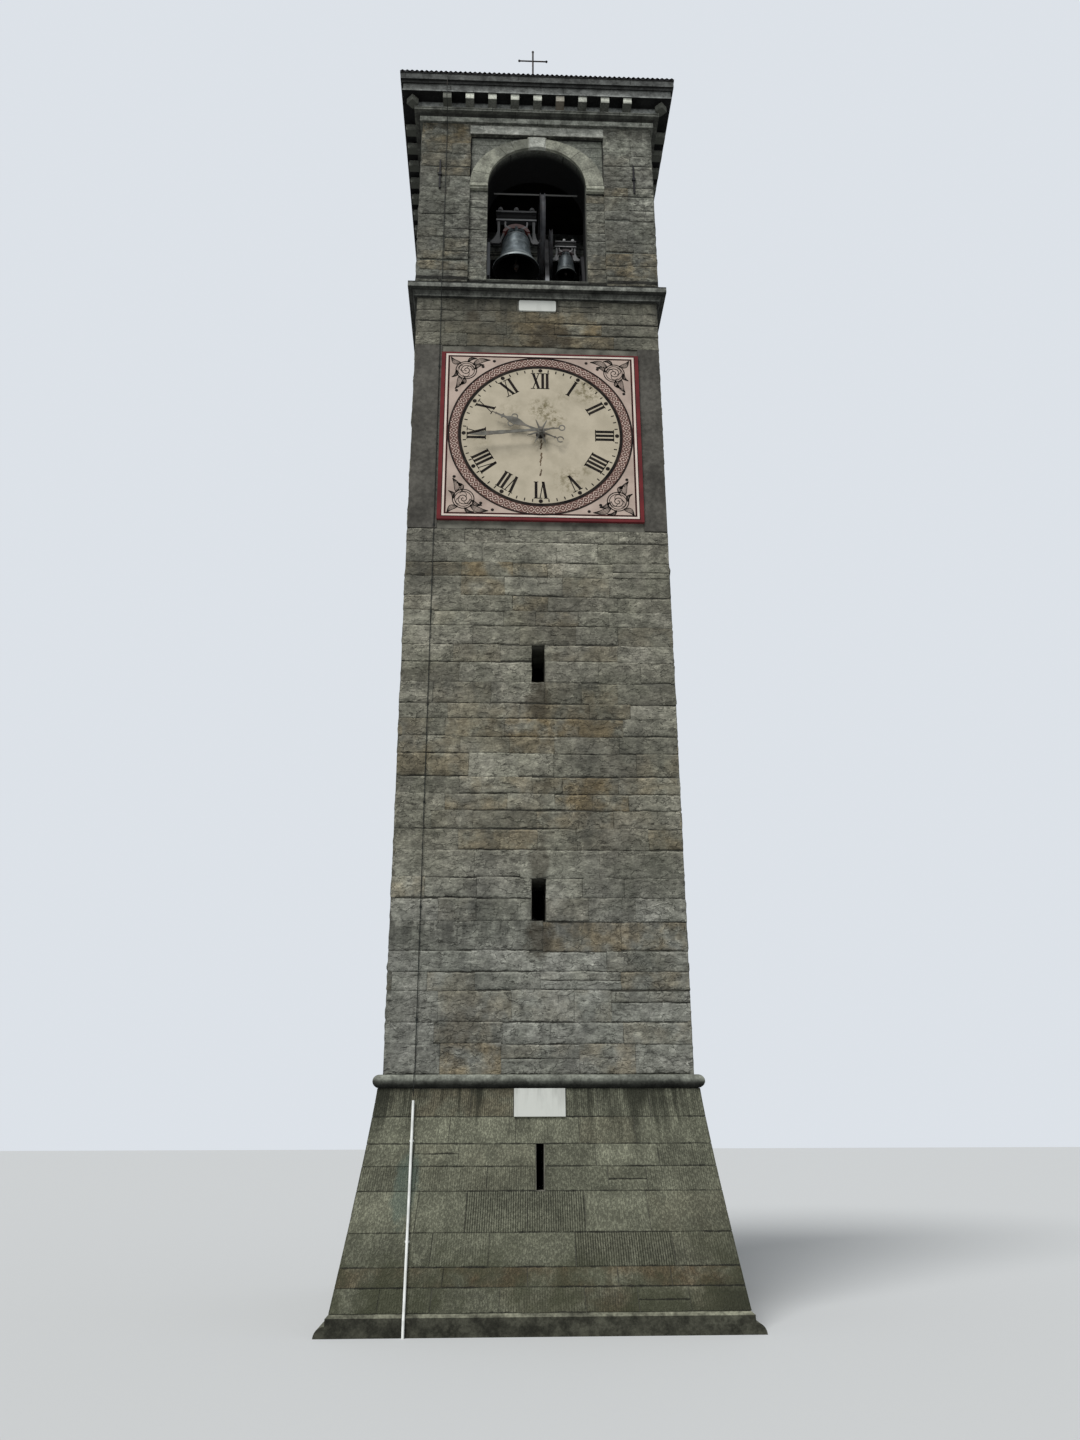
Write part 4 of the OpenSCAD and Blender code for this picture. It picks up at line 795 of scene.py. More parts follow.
finishes = {  # how it is built, roughness, metallic
    "shaftStone": (shaftStone,),
    "baseStone": (baseStone,),
    "torusStone": (shadedAndWeathered("torus", "round", (0.98, 1.02, 0.86), blocks=0.93, patch=0.9, joints=0.0),),
    "plinthStone": (shadedAndWeathered("plinth", "paintedLight", (1.0, 1.0, 0.74), patch=1.1, joints=0.0),),
    "lowCornice": (shadedAndWeathered("lowCornice", "plain", (0.98, 1.0, 0.88), blocks=1.86, patch=1.1, joints=0.0),),
    "architraveStone": (shadedAndWeathered("architrave", blocks=2.31, joints=0.6),),
    "modillionStone": (modillionStone,),
    "eavesStone": (shadedAndWeathered("eaves", "soffit", (1.0, 1.04, 0.98), blocks=2.04, joints=0.5),),
    "mortar": (clouded((0.060, 0.058, 0.048), (0.17, 0.165, 0.135), 2.0, 0.6, 0.01),),
    "insidePlaster": (insidePlaster,),
    "paleStone": (paleStone,),
    "marble": (marble, 0.6),
    "greyRender": (greyRender,),
    "roofSheet": (roofSheet, 0.8),
    "roofWood": (clouded((0.004, 0.004, 0.003), (0.009, 0.008, 0.006), 1.5, 0.5, 0.004, (1.0, 1.0, 6.0)),),
    "iron": (metal((0.022, 0.022, 0.022), (0.050, 0.046, 0.042), 0.55), 0.7, 0.4),
    "frameIron": (frameIron, 0.6, 0.2),
    "tieIron": (tieIron, 0.6, 0.2),
    "bigYoke": (yokeIron(bells["big"], (0.33, 0.23, 0.22), 1.0), 0.6, 0.2),
    "smallYoke": (yokeIron(bells["small"], (0.10, 0.09, 0.09), 0.3), 0.6, 0.2),
    "wheelIron": (metal((0.020, 0.020, 0.022), (0.050, 0.052, 0.056), 0.08), 0.6, 0.2),
    "handMetal": (metal((0.082, 0.078, 0.066), (0.170, 0.164, 0.142), 0.15), 0.6, 0.15),
    "copper": (metal((0.012, 0.014, 0.013), (0.030, 0.034, 0.031), 0.1), 0.6, 0.2),
    "whitePipe": (metal((0.62, 0.63, 0.60), (0.80, 0.81, 0.78)), 0.5),
    "whitePaint": (paint((0.82, 0.82, 0.80), (0.90, 0.90, 0.88)), 0.5),
    "bigBronze": (bronze(bells["big"]), 0.5, 0.35),
    # the same bronze darkened by painted shade
    "smallBronze": (bronze(bells["small"], 0.42), 0.5, 0.35),
    "clockPlaster": (plaster,),
    "blackPaint": (paint((0.005, 0.004, 0.004), (0.022, 0.017, 0.014)), 0.9),
    "maroonPaint": (paint((0.018, 0.005, 0.005), (0.045, 0.012, 0.011)), 0.9),
    "creamPaint": (paint((0.66, 0.57, 0.50), (0.56, 0.48, 0.41)),),
    "rosePaint": (paint((0.40, 0.30, 0.25), (0.52, 0.41, 0.35)),),
    "brownPaint": (paint((0.070, 0.030, 0.024), (0.125, 0.060, 0.048)), 0.9),
    "rustPaint": (paint((0.075, 0.050, 0.032), (0.13, 0.09, 0.055)),),
}
look = {name: material(name, *given) for name, given in finishes.items()}

dressed = {
    "base_wall": "mortar", "shaft_wall": "mortar",
    "belfry_pier": "insidePlaster", "belfry_head": "insidePlaster",
    "plinth": "plinthStone", "torus_course": "torusStone", "belfry_cornice": "lowCornice",
    "belfry_floor": "insidePlaster", "arch_rings": "paleStone", "architrave": "architraveStone",
    "modillions": "modillionStone", "main_cornice": "eavesStone", "roof_deck": "roofWood",
    "roof_sheets": "roofSheet", "roof_cross": "iron", "render_strips": "greyRender",
    "clock_panel": "clockPlaster", "arbor_boss": "iron", "hour_hand": "handMetal", "minute_hand": "handMetal",
    "marble_plaques": "marble", "iron_ties": "tieIron", "lightning_conductor": "copper",
    "guard_pipe": "whitePipe", "bell_frame": "frameIron", "big_bell": "bigBronze", "big_bell_yoke": "bigYoke",
    "big_bell_wheel": "wheelIron", "big_bell_clapper": "iron", "small_bell": "smallBronze",
    "small_bell_yoke": "smallYoke", "small_bell_wheel": "wheelIron", "small_bell_clapper": "iron",
}
for name, piece in nodes.items():
    start = "_".join(name.split("_")[:2])  # the four walls of a storey share a finish
    piece.data.materials.clear()
    piece.data.materials.append(look[dressed.get(name) or dressed[start]])
print("materials on the frame's own solids")


# Ways to make a piece

def addPiece(name, mesh, finish, body, slot, bevel=0.0):
    if finish:
        mesh.materials.append(look[finish])
    piece = bpy.data.objects.new(name, mesh)
    bpy.context.collection.objects.link(piece)
    if bevel:
        modifier = piece.modifiers.new("edges", "BEVEL")
        modifier.width = bevel
        modifier.segments = 2
    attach(piece, body)


def meshOf(name, made):
    mesh = bpy.data.meshes.new(name)
    made.to_mesh(mesh)
    made.free()
    return mesh


def turnToSide(made, verts, side):
    bmesh.ops.rotate(made, verts=verts, cent=(0, 0, 0), matrix=Matrix.Rotation(side * math.pi / 2, 3, "Z"))


def grow(name, places, columns, tree, values, slot):  # a tree's result on many points, as a plain mesh
    mesh = bpy.data.meshes.new(name + "Points")
    mesh.from_pydata(places, [], [])
    for label, data in columns.items():
        if isinstance(data[0], tuple):
            flat = [v for row in data for v in row]
            mesh.attributes.new(label, "FLOAT_VECTOR", "POINT").data.foreach_set("vector", flat)
        else:
            mesh.attributes.new(label, "FLOAT", "POINT").data.foreach_set("value", data)
    source = bpy.data.objects.new(name + "Points", mesh)
    bpy.context.collection.objects.link(source)
    modifier = source.modifiers.new("grow", "NODES")
    modifier.node_group = tree
    for item in tree.interface.items_tree:
        if item.item_type == "SOCKET" and item.in_out == "INPUT" and item.name in values:
            modifier[item.identifier] = values[item.name]
    graph = bpy.context.evaluated_depsgraph_get()
    settled = bpy.data.meshes.new_from_object(source.evaluated_get(graph), preserve_all_data_layers=True,
                                              depsgraph=graph)
    settled.name = name
    bpy.data.objects.remove(source)
    addPiece(name, settled, None, "tower", slot)


def named(tree, name, kind="FLOAT_VECTOR"):
    return get(tree, "GeometryNodeInputNamedAttribute", {"Name": name}, data_type=kind)


def then(laid, kind, inputs, **settings):  # the next node that the geometry goes through
    return get(laid.tree, kind, {0: laid, **inputs}, **settings)


# Stone skins: a point for each stone, a tree that cuts and roughens it

stoneLook = {"chip": 0.7, "slide": 0.042, "flare": 1.12, "sharp": 0.75, "sideShift": 11.0}


def makeStoneTree():
    tree, given = newGroup("stoneSkin", "GeometryNodeTree", [
        ("Stones", "Geometry", None), ("Relief", "Float", 0.02), ("Margin", "Float", 0.04),
        ("Facets", "Float", 3.0), ("Head Half", "Float", 2.0), ("Spread", "Float", 0.0),
        ("Foot Z", "Float", 0.0), ("Height", "Float", 1.0), ("Cuts X", "Int", 13), ("Cuts Z", "Int", 7),
        ("Side", "Int", 0), ("Seed", "Int", 1), ("Material", "Material", None)])
    block = get(tree, "GeometryNodeMeshCube", {"Size": (1, 1, 1), "Vertices X": given["Cuts X"],
                                               "Vertices Y": 2, "Vertices Z": given["Cuts Z"]})
    inward = get(tree, "GeometryNodeInputNormal").axes()[1] > 0.5
    block = then(block, "GeometryNodeDeleteGeometry", {1: inward}, domain="FACE")
    place = get(tree, "GeometryNodeInputPosition")
    block = then(block, "GeometryNodeStoreNamedAttribute", {"Name": "blockPlace", "Value": place},
                 data_type="FLOAT_VECTOR")
    size = named(tree, "stoneSize")
    laid = get(tree, "GeometryNodeInstanceOnPoints", {"Points": given["Stones"], "Instance": block,
                                                      "Scale": size})
    laid = get(tree, "GeometryNodeRealizeInstances", {0: laid})

    # Rock face: the front is lifted, less towards its edges, and the whole stone is jittered sideways
    partX, partY, partZ = named(tree, "blockPlace").axes()
    sizeX, sizeY, sizeZ = size.axes()
    edge = calc("MINIMUM", (0.5 - abs(partX)) * sizeX, (0.5 - abs(partZ)) * sizeZ)
    fall = spread(edge, 0.0, given["Margin"])
    seeded = vector("ADD", place, combine(given["Seed"] * 7.3, given["Seed"] * 3.1))
    rock = noise(seeded, given["Facets"], 4.0, 0.65)
    chip = get(tree, "ShaderNodeTexVoronoi", {"Vector": seeded, "Scale": given["Facets"] * 1.7})
    rough = 1.0 - named(tree, "stoneSmooth", "FLOAT")
    lift = spread(rock, 0.3, 0.7, -0.5, 1.3, smooth=False) + chip * stoneLook["chip"]
    lift = lift * fall * rough * given["Relief"] * (partY < 0.0)
    jitter = vector("SUBTRACT", noise(seeded, 5.5, 3.0, 0.6, out=1), (0.5, 0.5, 0.5))
    calm = spread(given["Head Half"] - abs(place.axes()[0]), 0.02, 0.16, 0.40, 1.0)
    slideX, slideY, slideZ = jitter.axes()
    slide = rough * calm * stoneLook["slide"]
    offset = combine(slideX * slide, lift * -1.0, slideZ * slide)
    laid = then(laid, "GeometryNodeSetPosition", {"Offset": offset})

    # Where the stone is on its wall, for the shaders, with each side away from the others
    onWall = vector("ADD", place, combine(0.0, given["Side"] * stoneLook["sideShift"]))
    laid = then(laid, "GeometryNodeStoreNamedAttribute", {"Name": "wallPlace", "Value": onWall},
                data_type="FLOAT_VECTOR")

    # The wall widens towards its foot, then turns to its side
    x, y, z = place.axes()
    left = calc("MAXIMUM", 1.0 - (z - given["Foot Z"]) / given["Height"], 0.0)
    half = given["Head Half"] + given["Spread"] * calc("POWER", left, stoneLook["flare"])
    widened = combine(x * (half / given["Head Half"]), y - half, z)
    laid = then(laid, "GeometryNodeSetPosition", {"Position": widened})
    laid = then(laid, "GeometryNodeTransform", {"Rotation": combine(0.0, 0.0, given["Side"] * (math.pi / 2))})
    laid = then(laid, "GeometryNodeSetShadeSmooth", {"Shade Smooth": True})
    flat = get(tree, "GeometryNodeInputMeshEdgeAngle") < stoneLook["sharp"]
    laid = then(laid, "GeometryNodeSetShadeSmooth", {"Shade Smooth": flat}, domain="EDGE")
    laid = then(laid, "GeometryNodeSetMaterial", {"Material": given["Material"]})
    return endGroup(tree, "Geometry", Geometry=laid)


stoneTree = makeStoneTree()
sideNames = ("Front", "Right", "Back", "Left")
stoneDraw = {"tall": 0.24, "cut": (0.4, 0.62), "toneBias": 1.3, "warmBias": 5}


def splitRow(dice, left, right, low, high):  # joints of one row, from left to right
    widths = []
    while sum(widths) < right - left:
        widths.append(dice.uniform(low, high))
    scale = (right - left) / sum(widths)
    joints = [left]
    for w in widths:
        joints.append(joints[-1] + w * scale)
    return joints


def warmth(patches, x, z):
    best = 0.0
    for patchX, patchZ, wide, high, amount in patches:
        off = math.hypot((x - patchX) / wide, (z - patchZ) / high)
        best = max(best, amount * max(0.0, min(1.0, 1.6 - off)))
    return best


def cutRow(dice, style, foot, head, spans):  # the stones of one row: left, right, low, high
    for left, right, short, long in spans:
        joints = splitRow(dice, left, right, short, long)
        for a, b in zip(joints, joints[1:]):
            cuts = [level + dice.uniform(-1, 1) * style["wander"] for level in (foot, head)]
            if head - foot > stoneDraw["tall"] and dice.random() < style["layers"]:
                cuts.insert(1, foot + (head - foot) * dice.uniform(*stoneDraw["cut"]))
            for low, high in zip(cuts, cuts[1:]):
                yield a, b, low, high


def laySide(side, name, finish, slot, rows, seed, style):
    dice = random.Random(seed + side)
    places = []
    columns = {"stoneSize": [], "stoneTone": [], "stoneWarm": [], "stoneSmooth": [], "stoneComb": []}
    patches = style["warm"] if side == 0 else ()
    gap, depth = style["joint"], style["depth"]
    for foot, head, spans in rows(side):
        for a, b, low, high in cutRow(dice, style, foot, head, spans):
            x, z = (a + b) / 2, (low + high) / 2
            places.append((x, depth / 2 - style["proud"] - dice.uniform(0, style["uneven"]), z))
            columns["stoneSize"].append((b - a - gap, depth, high - low - gap))
            columns["stoneTone"].append(dice.random() ** stoneDraw["toneBias"] * style["bright"])
            stray = dice.random() ** stoneDraw["warmBias"] * style["strayWarm"]
            columns["stoneWarm"].append(max(warmth(patches, x, z), stray))
            columns["stoneSmooth"].append(style["smooth"](dice))
            columns["stoneComb"].append(style["comb"](dice, x, z))
    values = {"Side": side, "Seed": seed + side, "Material": look[finish], **style["tree"]}
    grow(name + sideNames[side], places, columns, stoneTree, values, slot)


def layStones(*skins):  # each skin: name, finish, slot, rows, seed, style
    for side in range(len(sideNames)):
        for skin in skins:
            laySide(side, *skin)


shaftStyle = {
    "joint": -0.002, "depth": 0.06, "proud": 0.006, "uneven": 0.006, "strayWarm": 0.45, "wander": 0.016,
    "layers": 0.05, "bright": 1.0, "edge": 0.008, "stones": (0.5, 1.25), "shortStones": (0.5, 1.2),
    # ochre patches: place on the front, half sizes, strength
    "warm": ((-0.75, 10.45, 0.55, 0.18, 0.8), (0.45, 9.0, 0.5, 0.2, 0.3), (-0.1, 7.83, 0.75, 0.28, 0.9),
             (0.95, 7.85, 0.35, 0.2, 0.8), (0.95, 6.92, 0.55, 0.14, 0.95), (0.75, 6.65, 0.5, 0.2, 0.9),
             (-0.8, 6.68, 0.6, 0.2, 0.5), (1.1, 4.75, 0.8, 0.2, 0.75), (-1.0, 3.1, 0.3, 0.2, 0.8),
             (-0.4, 6.1, 0.5, 0.2, 0.5), (0.3, 14.9, 0.6, 0.35, 1.0), (-0.5, 14.9, 0.5, 0.5, 0.5),
             (1.75, 4.2, 0.4, 0.2, 0.5)),
    "smooth": lambda dice: 0.75 if dice.random() < 0.12 else 0.0,
    "comb": lambda dice, x, z: 0.0,
    "tree": {"Relief": 0.013, "Margin": 0.018, "Facets": 4.6, "Head Half": wall["shaft"], "Cuts X": 17,
             "Cuts Z": 9},
    "slitHalf": 0.102, "slits": ((4.97, 5.6), (8.52, 9.15)), "plaqueHalf": 0.345, "plaqueFoot": 15.34,
    "clock": (11.12, 14.6),
    "courses": (2.97, 3.36, 3.64, 4.05, 4.29, 4.575, 4.975, 5.30, 5.59, 5.98, 6.29, 6.56, 6.80, 7.06, 7.41,
                7.68, 7.95, 8.19, 8.525, 8.86, 9.14, 9.45, 9.70, 9.95, 10.28, 10.53, 10.88, 11.12, 11.42,
                11.75, 12.06, 12.36, 12.70, 13.0, 13.35, 13.62, 13.95, 14.28, 14.60, 14.855, 15.10, 15.335,
                15.58),
}


def within(spans, z):
    return any(low < z < high for low, high in spans)


def shaftRows(side):
    rows = []
    edge = wall["shaft"] + shaftStyle["edge"]
    for foot, head in zip(shaftStyle["courses"], shaftStyle["courses"][1:]):
        mid = (foot + head) / 2
        half = 0.0
        if side == 0 and within([shaftStyle["clock"]], mid):
            continue
        if side in (0, 2) and within(shaftStyle["slits"], mid):
            half = shaftStyle["slitHalf"]
        elif side == 0 and mid > shaftStyle["plaqueFoot"]:
            half = shaftStyle["plaqueHalf"]
        if half:
            short = shaftStyle["shortStones"]
            rows.append((foot, head, [(-edge, -half, *short), (half, edge, *short)]))
        else:
            rows.append((foot, head, [(-edge, edge, *shaftStyle["stones"])]))
    return rows


layStones(("shaftStones", "shaftStone", "wall_stone", shaftRows, 11, shaftStyle))
print("shaft stones laid")


def combOf(dice, x, z):  # two blocks of the front are deeply combed, the others a little
    if (abs(x) < 0.5 and 1.1 < z < 1.6) or (0.1 < x < 0.9 and 0.72 < z < 1.12):
        return 1.0
    return 0.45 if dice.random() < 0.35 else 0.12


baseStyle = {
    "joint": 0.006, "depth": 0.05, "proud": 0.008, "uneven": 0.003, "strayWarm": 0.25, "wander": 0.0,
    "layers": 0.06, "bright": 1.0, "edge": 0.006,
    "warm": ((-0.2, 0.63, 1.6, 0.12, 1.0), (1.6, 0.63, 0.8, 0.12, 1.0), (0.55, 0.38, 0.4, 0.15, 0.8),
             (2.2, 0.4, 0.35, 0.3, 0.8), (-2.2, 1.4, 0.3, 0.8, 0.5), (-1.0, 2.6, 0.7, 0.2, 0.5)),
    "smooth": lambda dice: 0.62,
    "comb": combOf,
    "tree": {"Relief": 0.007, "Margin": 0.02, "Facets": 3.0, "Head Half": wall["baseHead"],
             "Spread": wall["baseFoot"] - wall["baseHead"], "Foot Z": wall["plinthTop"],
             "Height": wall["baseTop"] - wall["plinthTop"], "Cuts X": 12, "Cuts Z": 7},
    "slitHalf": 0.052, "slit": (1.57, 2.13), "plaqueHalf": 0.335, "plaqueFoot": 2.4,
    "courses": (0.25, 0.52, 0.735, 1.11, 1.575, 1.86, 2.125, 2.45, 2.80),
}


def baseRows(side):
    rows = []
    edge = wall["baseHead"] + baseStyle["edge"]
    for foot, head in zip(baseStyle["courses"], baseStyle["courses"][1:]):
        spans = [(-edge, edge, 0.5, 1.15)]
        if side in (0, 2) and within([baseStyle["slit"]], (foot + head) / 2):
            spans = [(-edge, -baseStyle["slitHalf"], 0.55, 1.1), (baseStyle["slitHalf"], edge, 0.55, 1.1)]
        elif side == 0 and foot > baseStyle["plaqueFoot"]:
            spans = [(-edge, -baseStyle["plaqueHalf"], 0.45, 0.9), (baseStyle["plaqueHalf"], edge, 0.45, 0.9)]
        rows.append((foot, head, spans))
    return rows


layStones(("baseStones", "baseStone", "base_stone", baseRows, 31, baseStyle))
print("base stones laid")

belfryStyle = {
    **shaftStyle,
    "warm": ((-1.65, 19.2, 0.3, 0.35, 1.0), (-1.55, 18.5, 0.3, 0.2, 0.7), (1.35, 17.9, 0.3, 0.15, 0.8),
             (1.55, 16.3, 0.5, 0.3, 0.9), (-1.45, 16.4, 0.4, 0.3, 0.6)),
    "bright": 0.3, "layers": 0.0, "joint": -0.003, "strayWarm": 0.15, "wander": 0.02, "edge": 0.006,
    "tree": {**shaftStyle["tree"], "Head Half": wall["belfry"], "Cuts X": 12, "Cuts Z": 7},
    "leftCourses": (15.90, 16.14, 16.37, 16.55, 16.86, 17.05, 17.38, 17.66, 17.98, 18.25, 18.47, 18.78, 19.02,
                    19.26),
    "rightCourses": (15.90, 16.10, 16.33, 16.62, 16.82, 17.14, 17.34, 17.56, 17.88, 18.10, 18.36, 18.60,
                     18.84, 19.26),
}
jambStyle = {
    **belfryStyle, "smooth": lambda dice: 0.6, "bright": 0.4, "wander": 0.008,
    "tree": {**belfryStyle["tree"], "Head Half": wall["recess"], "Relief": 0.008},
    "courses": (15.96, 16.29, 16.62, 16.92, 17.10, 17.33, 17.60, 17.78, 17.965),
}
lintelStyle = {
    **belfryStyle, "smooth": lambda dice: 0.85, "strayWarm": 0.1, "bright": 1.35, "wander": 0.0,
    "foot": 19.26, "joints": (-0.976, -0.067, 0.542, 1.199),
}


def pilasterRows(side):  # the two piers have courses of their own
    edge = wall["belfry"] + belfryStyle["edge"]
    rows = []
    for courses, left, right in ((belfryStyle["leftCourses"], -edge, -wall["strip"]),
                                 (belfryStyle["rightCourses"], wall["strip"], edge)):
        rows += [(foot, head, [(left, right, 0.40, 0.95)]) for foot, head in zip(courses, courses[1:])]
    return rows


def jambRows(side):  # the same on all four sides
    inner, outer = wall["arch"], wall["strip"]
    return [(foot, head, [(-outer, -inner, 0.6, 0.6), (inner, outer, 0.6, 0.6)])
            for foot, head in zip(jambStyle["courses"], jambStyle["courses"][1:])]


def lintelRows(side):  # the same on all four sides
    cuts = (-wall["belfry"], *lintelStyle["joints"], wall["belfry"])
    return [(lintelStyle["foot"], wall["belfryTop"], [(a, b, b - a, b - a) for a, b in zip(cuts, cuts[1:])])]


layStones(("pilasterStones", "shaftStone", "wall_stone", pilasterRows, 51, belfryStyle),
          ("jambStones", "shaftStone", "wall_stone", jambRows, 71, jambStyle),
          ("lintelStones", "shaftStone", "wall_stone", lintelRows, 81, lintelStyle))
print("belfry stones laid")


# Fine waves at the sheets' lower edge, lying on their crests

eavesWaves = {"pitch": 0.088, "rise": 0.034, "sheet": 0.005, "deep": 0.060, "steps": 6, "above": 0.030,
              "past": 0.003, "slope": 0.41}


def waveColumn(made, i, count, half, foot):  # the four corners of the sheet at one place along the eaves
    corners = []
    wave = eavesWaves["rise"] / 2 * (1 - math.cos(2 * math.pi * i / eavesWaves["steps"]))
    for back, up in ((-eavesWaves["past"], 0), (-eavesWaves["past"], 1), (eavesWaves["deep"], 1),
                     (eavesWaves["deep"], 0)):
        out = half - back
        z = foot + eavesWaves["above"] + wave + up * eavesWaves["sheet"] + back * eavesWaves["slope"]
        corners.append(made.verts.new((out * (2 * i / count - 1), -out, z)))
    return corners


def layEavesWaves():
    low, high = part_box("roof_sheets")
    half, foot = high[0], low[2]
    count = round(2 * half / eavesWaves["pitch"]) * eavesWaves["steps"]
    made = bmesh.new()
    for side in range(4):
        columns = [waveColumn(made, i, count, half, foot) for i in range(count + 1)]
        for a, b in zip(columns, columns[1:]):
            for k in range(4):
                made.faces.new((a[k], a[(k + 1) % 4], b[(k + 1) % 4], b[k]))
        made.faces.new(columns[0][::-1])
        made.faces.new(columns[-1])
        turnToSide(made, [v for column in columns for v in column], side)
    bmesh.ops.recalc_face_normals(made, faces=made.faces)
    addPiece("eavesWaves", meshOf("eavesWaves", made), "roofSheet", "tower", "roof_sheet")


layEavesWaves()
print("eaves waves")


# Flat painted work on the clock, as thin plates that lie on the plaster

def plateMesh(outlines, y, thick):  # closed prisms from outlines in clock coordinates
    points, faces = [], []
    for outline in outlines:
        area = sum(a[0] * b[1] - b[0] * a[1] for a, b in zip(outline, outline[1:] + outline[:1]))
        ring = outline if area > 0 else outline[::-1]
        n, base = len(ring), len(points)
        points += [(clock["x"] + x, y - thick, clock["z"] + z) for x, z in ring]
        points += [(clock["x"] + x, y, clock["z"] + z) for x, z in ring]
        faces.append([base + i for i in range(n)])
        faces.append([base + n + i for i in reversed(range(n))])
        faces += [[base + n + i, base + n + (i + 1) % n, base + (i + 1) % n, base + i] for i in range(n)]
    return points, faces


def paintPiece(name, outlines, lift, finish, thick=0.0012):
    points, faces = plateMesh(outlines, clock["face"] - lift, thick)
    mesh = bpy.data.meshes.new(name)
    mesh.from_pydata(points, [], faces)
    addPiece(name, mesh, finish, "tower", "painted_plaster")


def ringOf(a, b):  # quads between two closed rings of points
    return [list(quad) for quad in zip(a, b, b[1:] + b[:1], a[1:] + a[:1])]


def bandOutlines(path, width, closed=False):  # quads along a path
    n = len(path)
    sides = []
    for i in range(n):
        a = path[(i - 1) % n] if closed or i else path[i]
        b = path[(i + 1) % n] if closed or i < n - 1 else path[i]
        dx, dz = b[0] - a[0], b[1] - a[1]
        size = (math.hypot(dx, dz) or 1.0) / (width / 2)
        sides.append(((path[i][0] - dz / size, path[i][1] + dx / size),
                      (path[i][0] + dz / size, path[i][1] - dx / size)))
    last = n if closed else n - 1
    return [[sides[i][0], sides[i][1], sides[(i + 1) % n][1], sides[(i + 1) % n][0]] for i in range(last)]


def circlePath(radius, steps, x=0.0, z=0.0, start=0.0, turn=360.0):
    angles = [math.radians(start + turn * i / steps) for i in range(steps + (turn != 360.0))]
    return [(x + radius * math.cos(a), z + radius * math.sin(a)) for a in angles]


# Lines round the panel: half width, top and bottom of each edge, from the outside in
edges = ((1.572, 1.563, -1.541), (1.560, 1.552, -1.530), (1.526, 1.518, -1.497), (1.497, 1.490, -1.468))
boxes = [[(-x, low), (x, low), (x, top), (-x, top)] for x, top, low in edges]
paintPiece("creamLine", ringOf(boxes[1], boxes[2]), 0.0004, "creamPaint")
paintPiece("innerLine", ringOf(boxes[2], boxes[3]), 0.0002, "maroonPaint")
paintPiece("outerLine", ringOf(boxes[0], boxes[1]), 0.0002, "blackPaint")
for name, inner, outer in (("ringLines", 1.478, 1.502), ("ringBold", 1.286, 1.334)):
    paintPiece(name, ringOf(circlePath(inner, 144), circlePath(outer, 144)), 0.0020, "blackPaint")

braid = {"waves": 44, "swing": 0.054, "radius": 1.405, "steps": 14, "thick": 0.0008}


def braidOutlines(width):  # two waves round the ring, in opposite phase
    n = braid["waves"] * braid["steps"]
    out = []
    for phase in (0, math.pi):
        path = []
        for i in range(n):
            a = 2 * math.pi * i / n
            r = braid["radius"] + braid["swing"] * math.sin(braid["waves"] * a + phase)
            path.append((r * math.cos(a), r * math.sin(a)))
        out += bandOutlines(path, width, closed=True)
    return out


paintPiece("braidEdges", braidOutlines(0.030), 0.0006, "brownPaint", braid["thick"])
paintPiece("braidCords", braidOutlines(0.013), 0.0014, "rosePaint", braid["thick"])

# Roman numerals, feet towards the hub; a stroke is (foot x, head x, width)
numeral = {"thick": 0.045, "thin": 0.015, "serif": 0.013, "serifHalf": 0.037, "high": 0.31, "radius": 0.885}
letterForms = {
    "I": (0.074, ((0.0, 0.0, "thick"),)),
    "V": (0.150, ((0.0, -0.048, "thick"), (0.0, 0.050, "thin"))),
    "X": (0.150, ((0.048, -0.048, "thick"), (-0.048, 0.048, "thin"))),
}
words = ("XII", "I", "II", "III", "IIII", "V", "VI", "VII", "VIII", "IX", "X", "XI")


def letterShapes(letter, mid):  # strokes and serifs of one letter
    strokes = letterForms[letter][1]
    high, serif, reach = numeral["high"], numeral["serif"], numeral["serifHalf"]
    shapes = []
    for foot, head, weight in strokes:
        w = numeral[weight] / 2
        rim = ((foot - w, 0.0), (foot + w, 0.0), (head + w, high), (head - w, high))
        shapes.append([(mid + x, z) for x, z in rim])
    feet = sorted({foot for foot, head, weight in strokes}) if letter != "V" else []
    heads = sorted({head for foot, head, weight in strokes})
    for x, low in [(x, 0.0) for x in feet] + [(x, high - serif) for x in heads]:
        left, right = mid + x - reach, mid + x + reach
        shapes.append([(left, low), (right, low), (right, low + serif), (left, low + serif)])
    return shapes


def numeralOutlines(word, turn):
    at = -sum(letterForms[letter][0] for letter in word) / 2
    shapes = []
    for letter in word:
        wide = letterForms[letter][0]
        shapes += letterShapes(letter, at + wide / 2)
        at += wide
    sine, cosine = math.sin(turn), math.cos(turn)
    return [[(x * cosine + (numeral["radius"] + z) * sine, (numeral["radius"] + z) * cosine - x * sine)
             for x, z in shape] for shape in shapes]


numerals = []
for hour, word in enumerate(words):
    numerals += numeralOutlines(word, math.radians(hour * 30))
paintPiece("numerals", numerals, 0.0004, "blackPaint")


# Minute marks, hour dots and ring beads: one small plate on many points

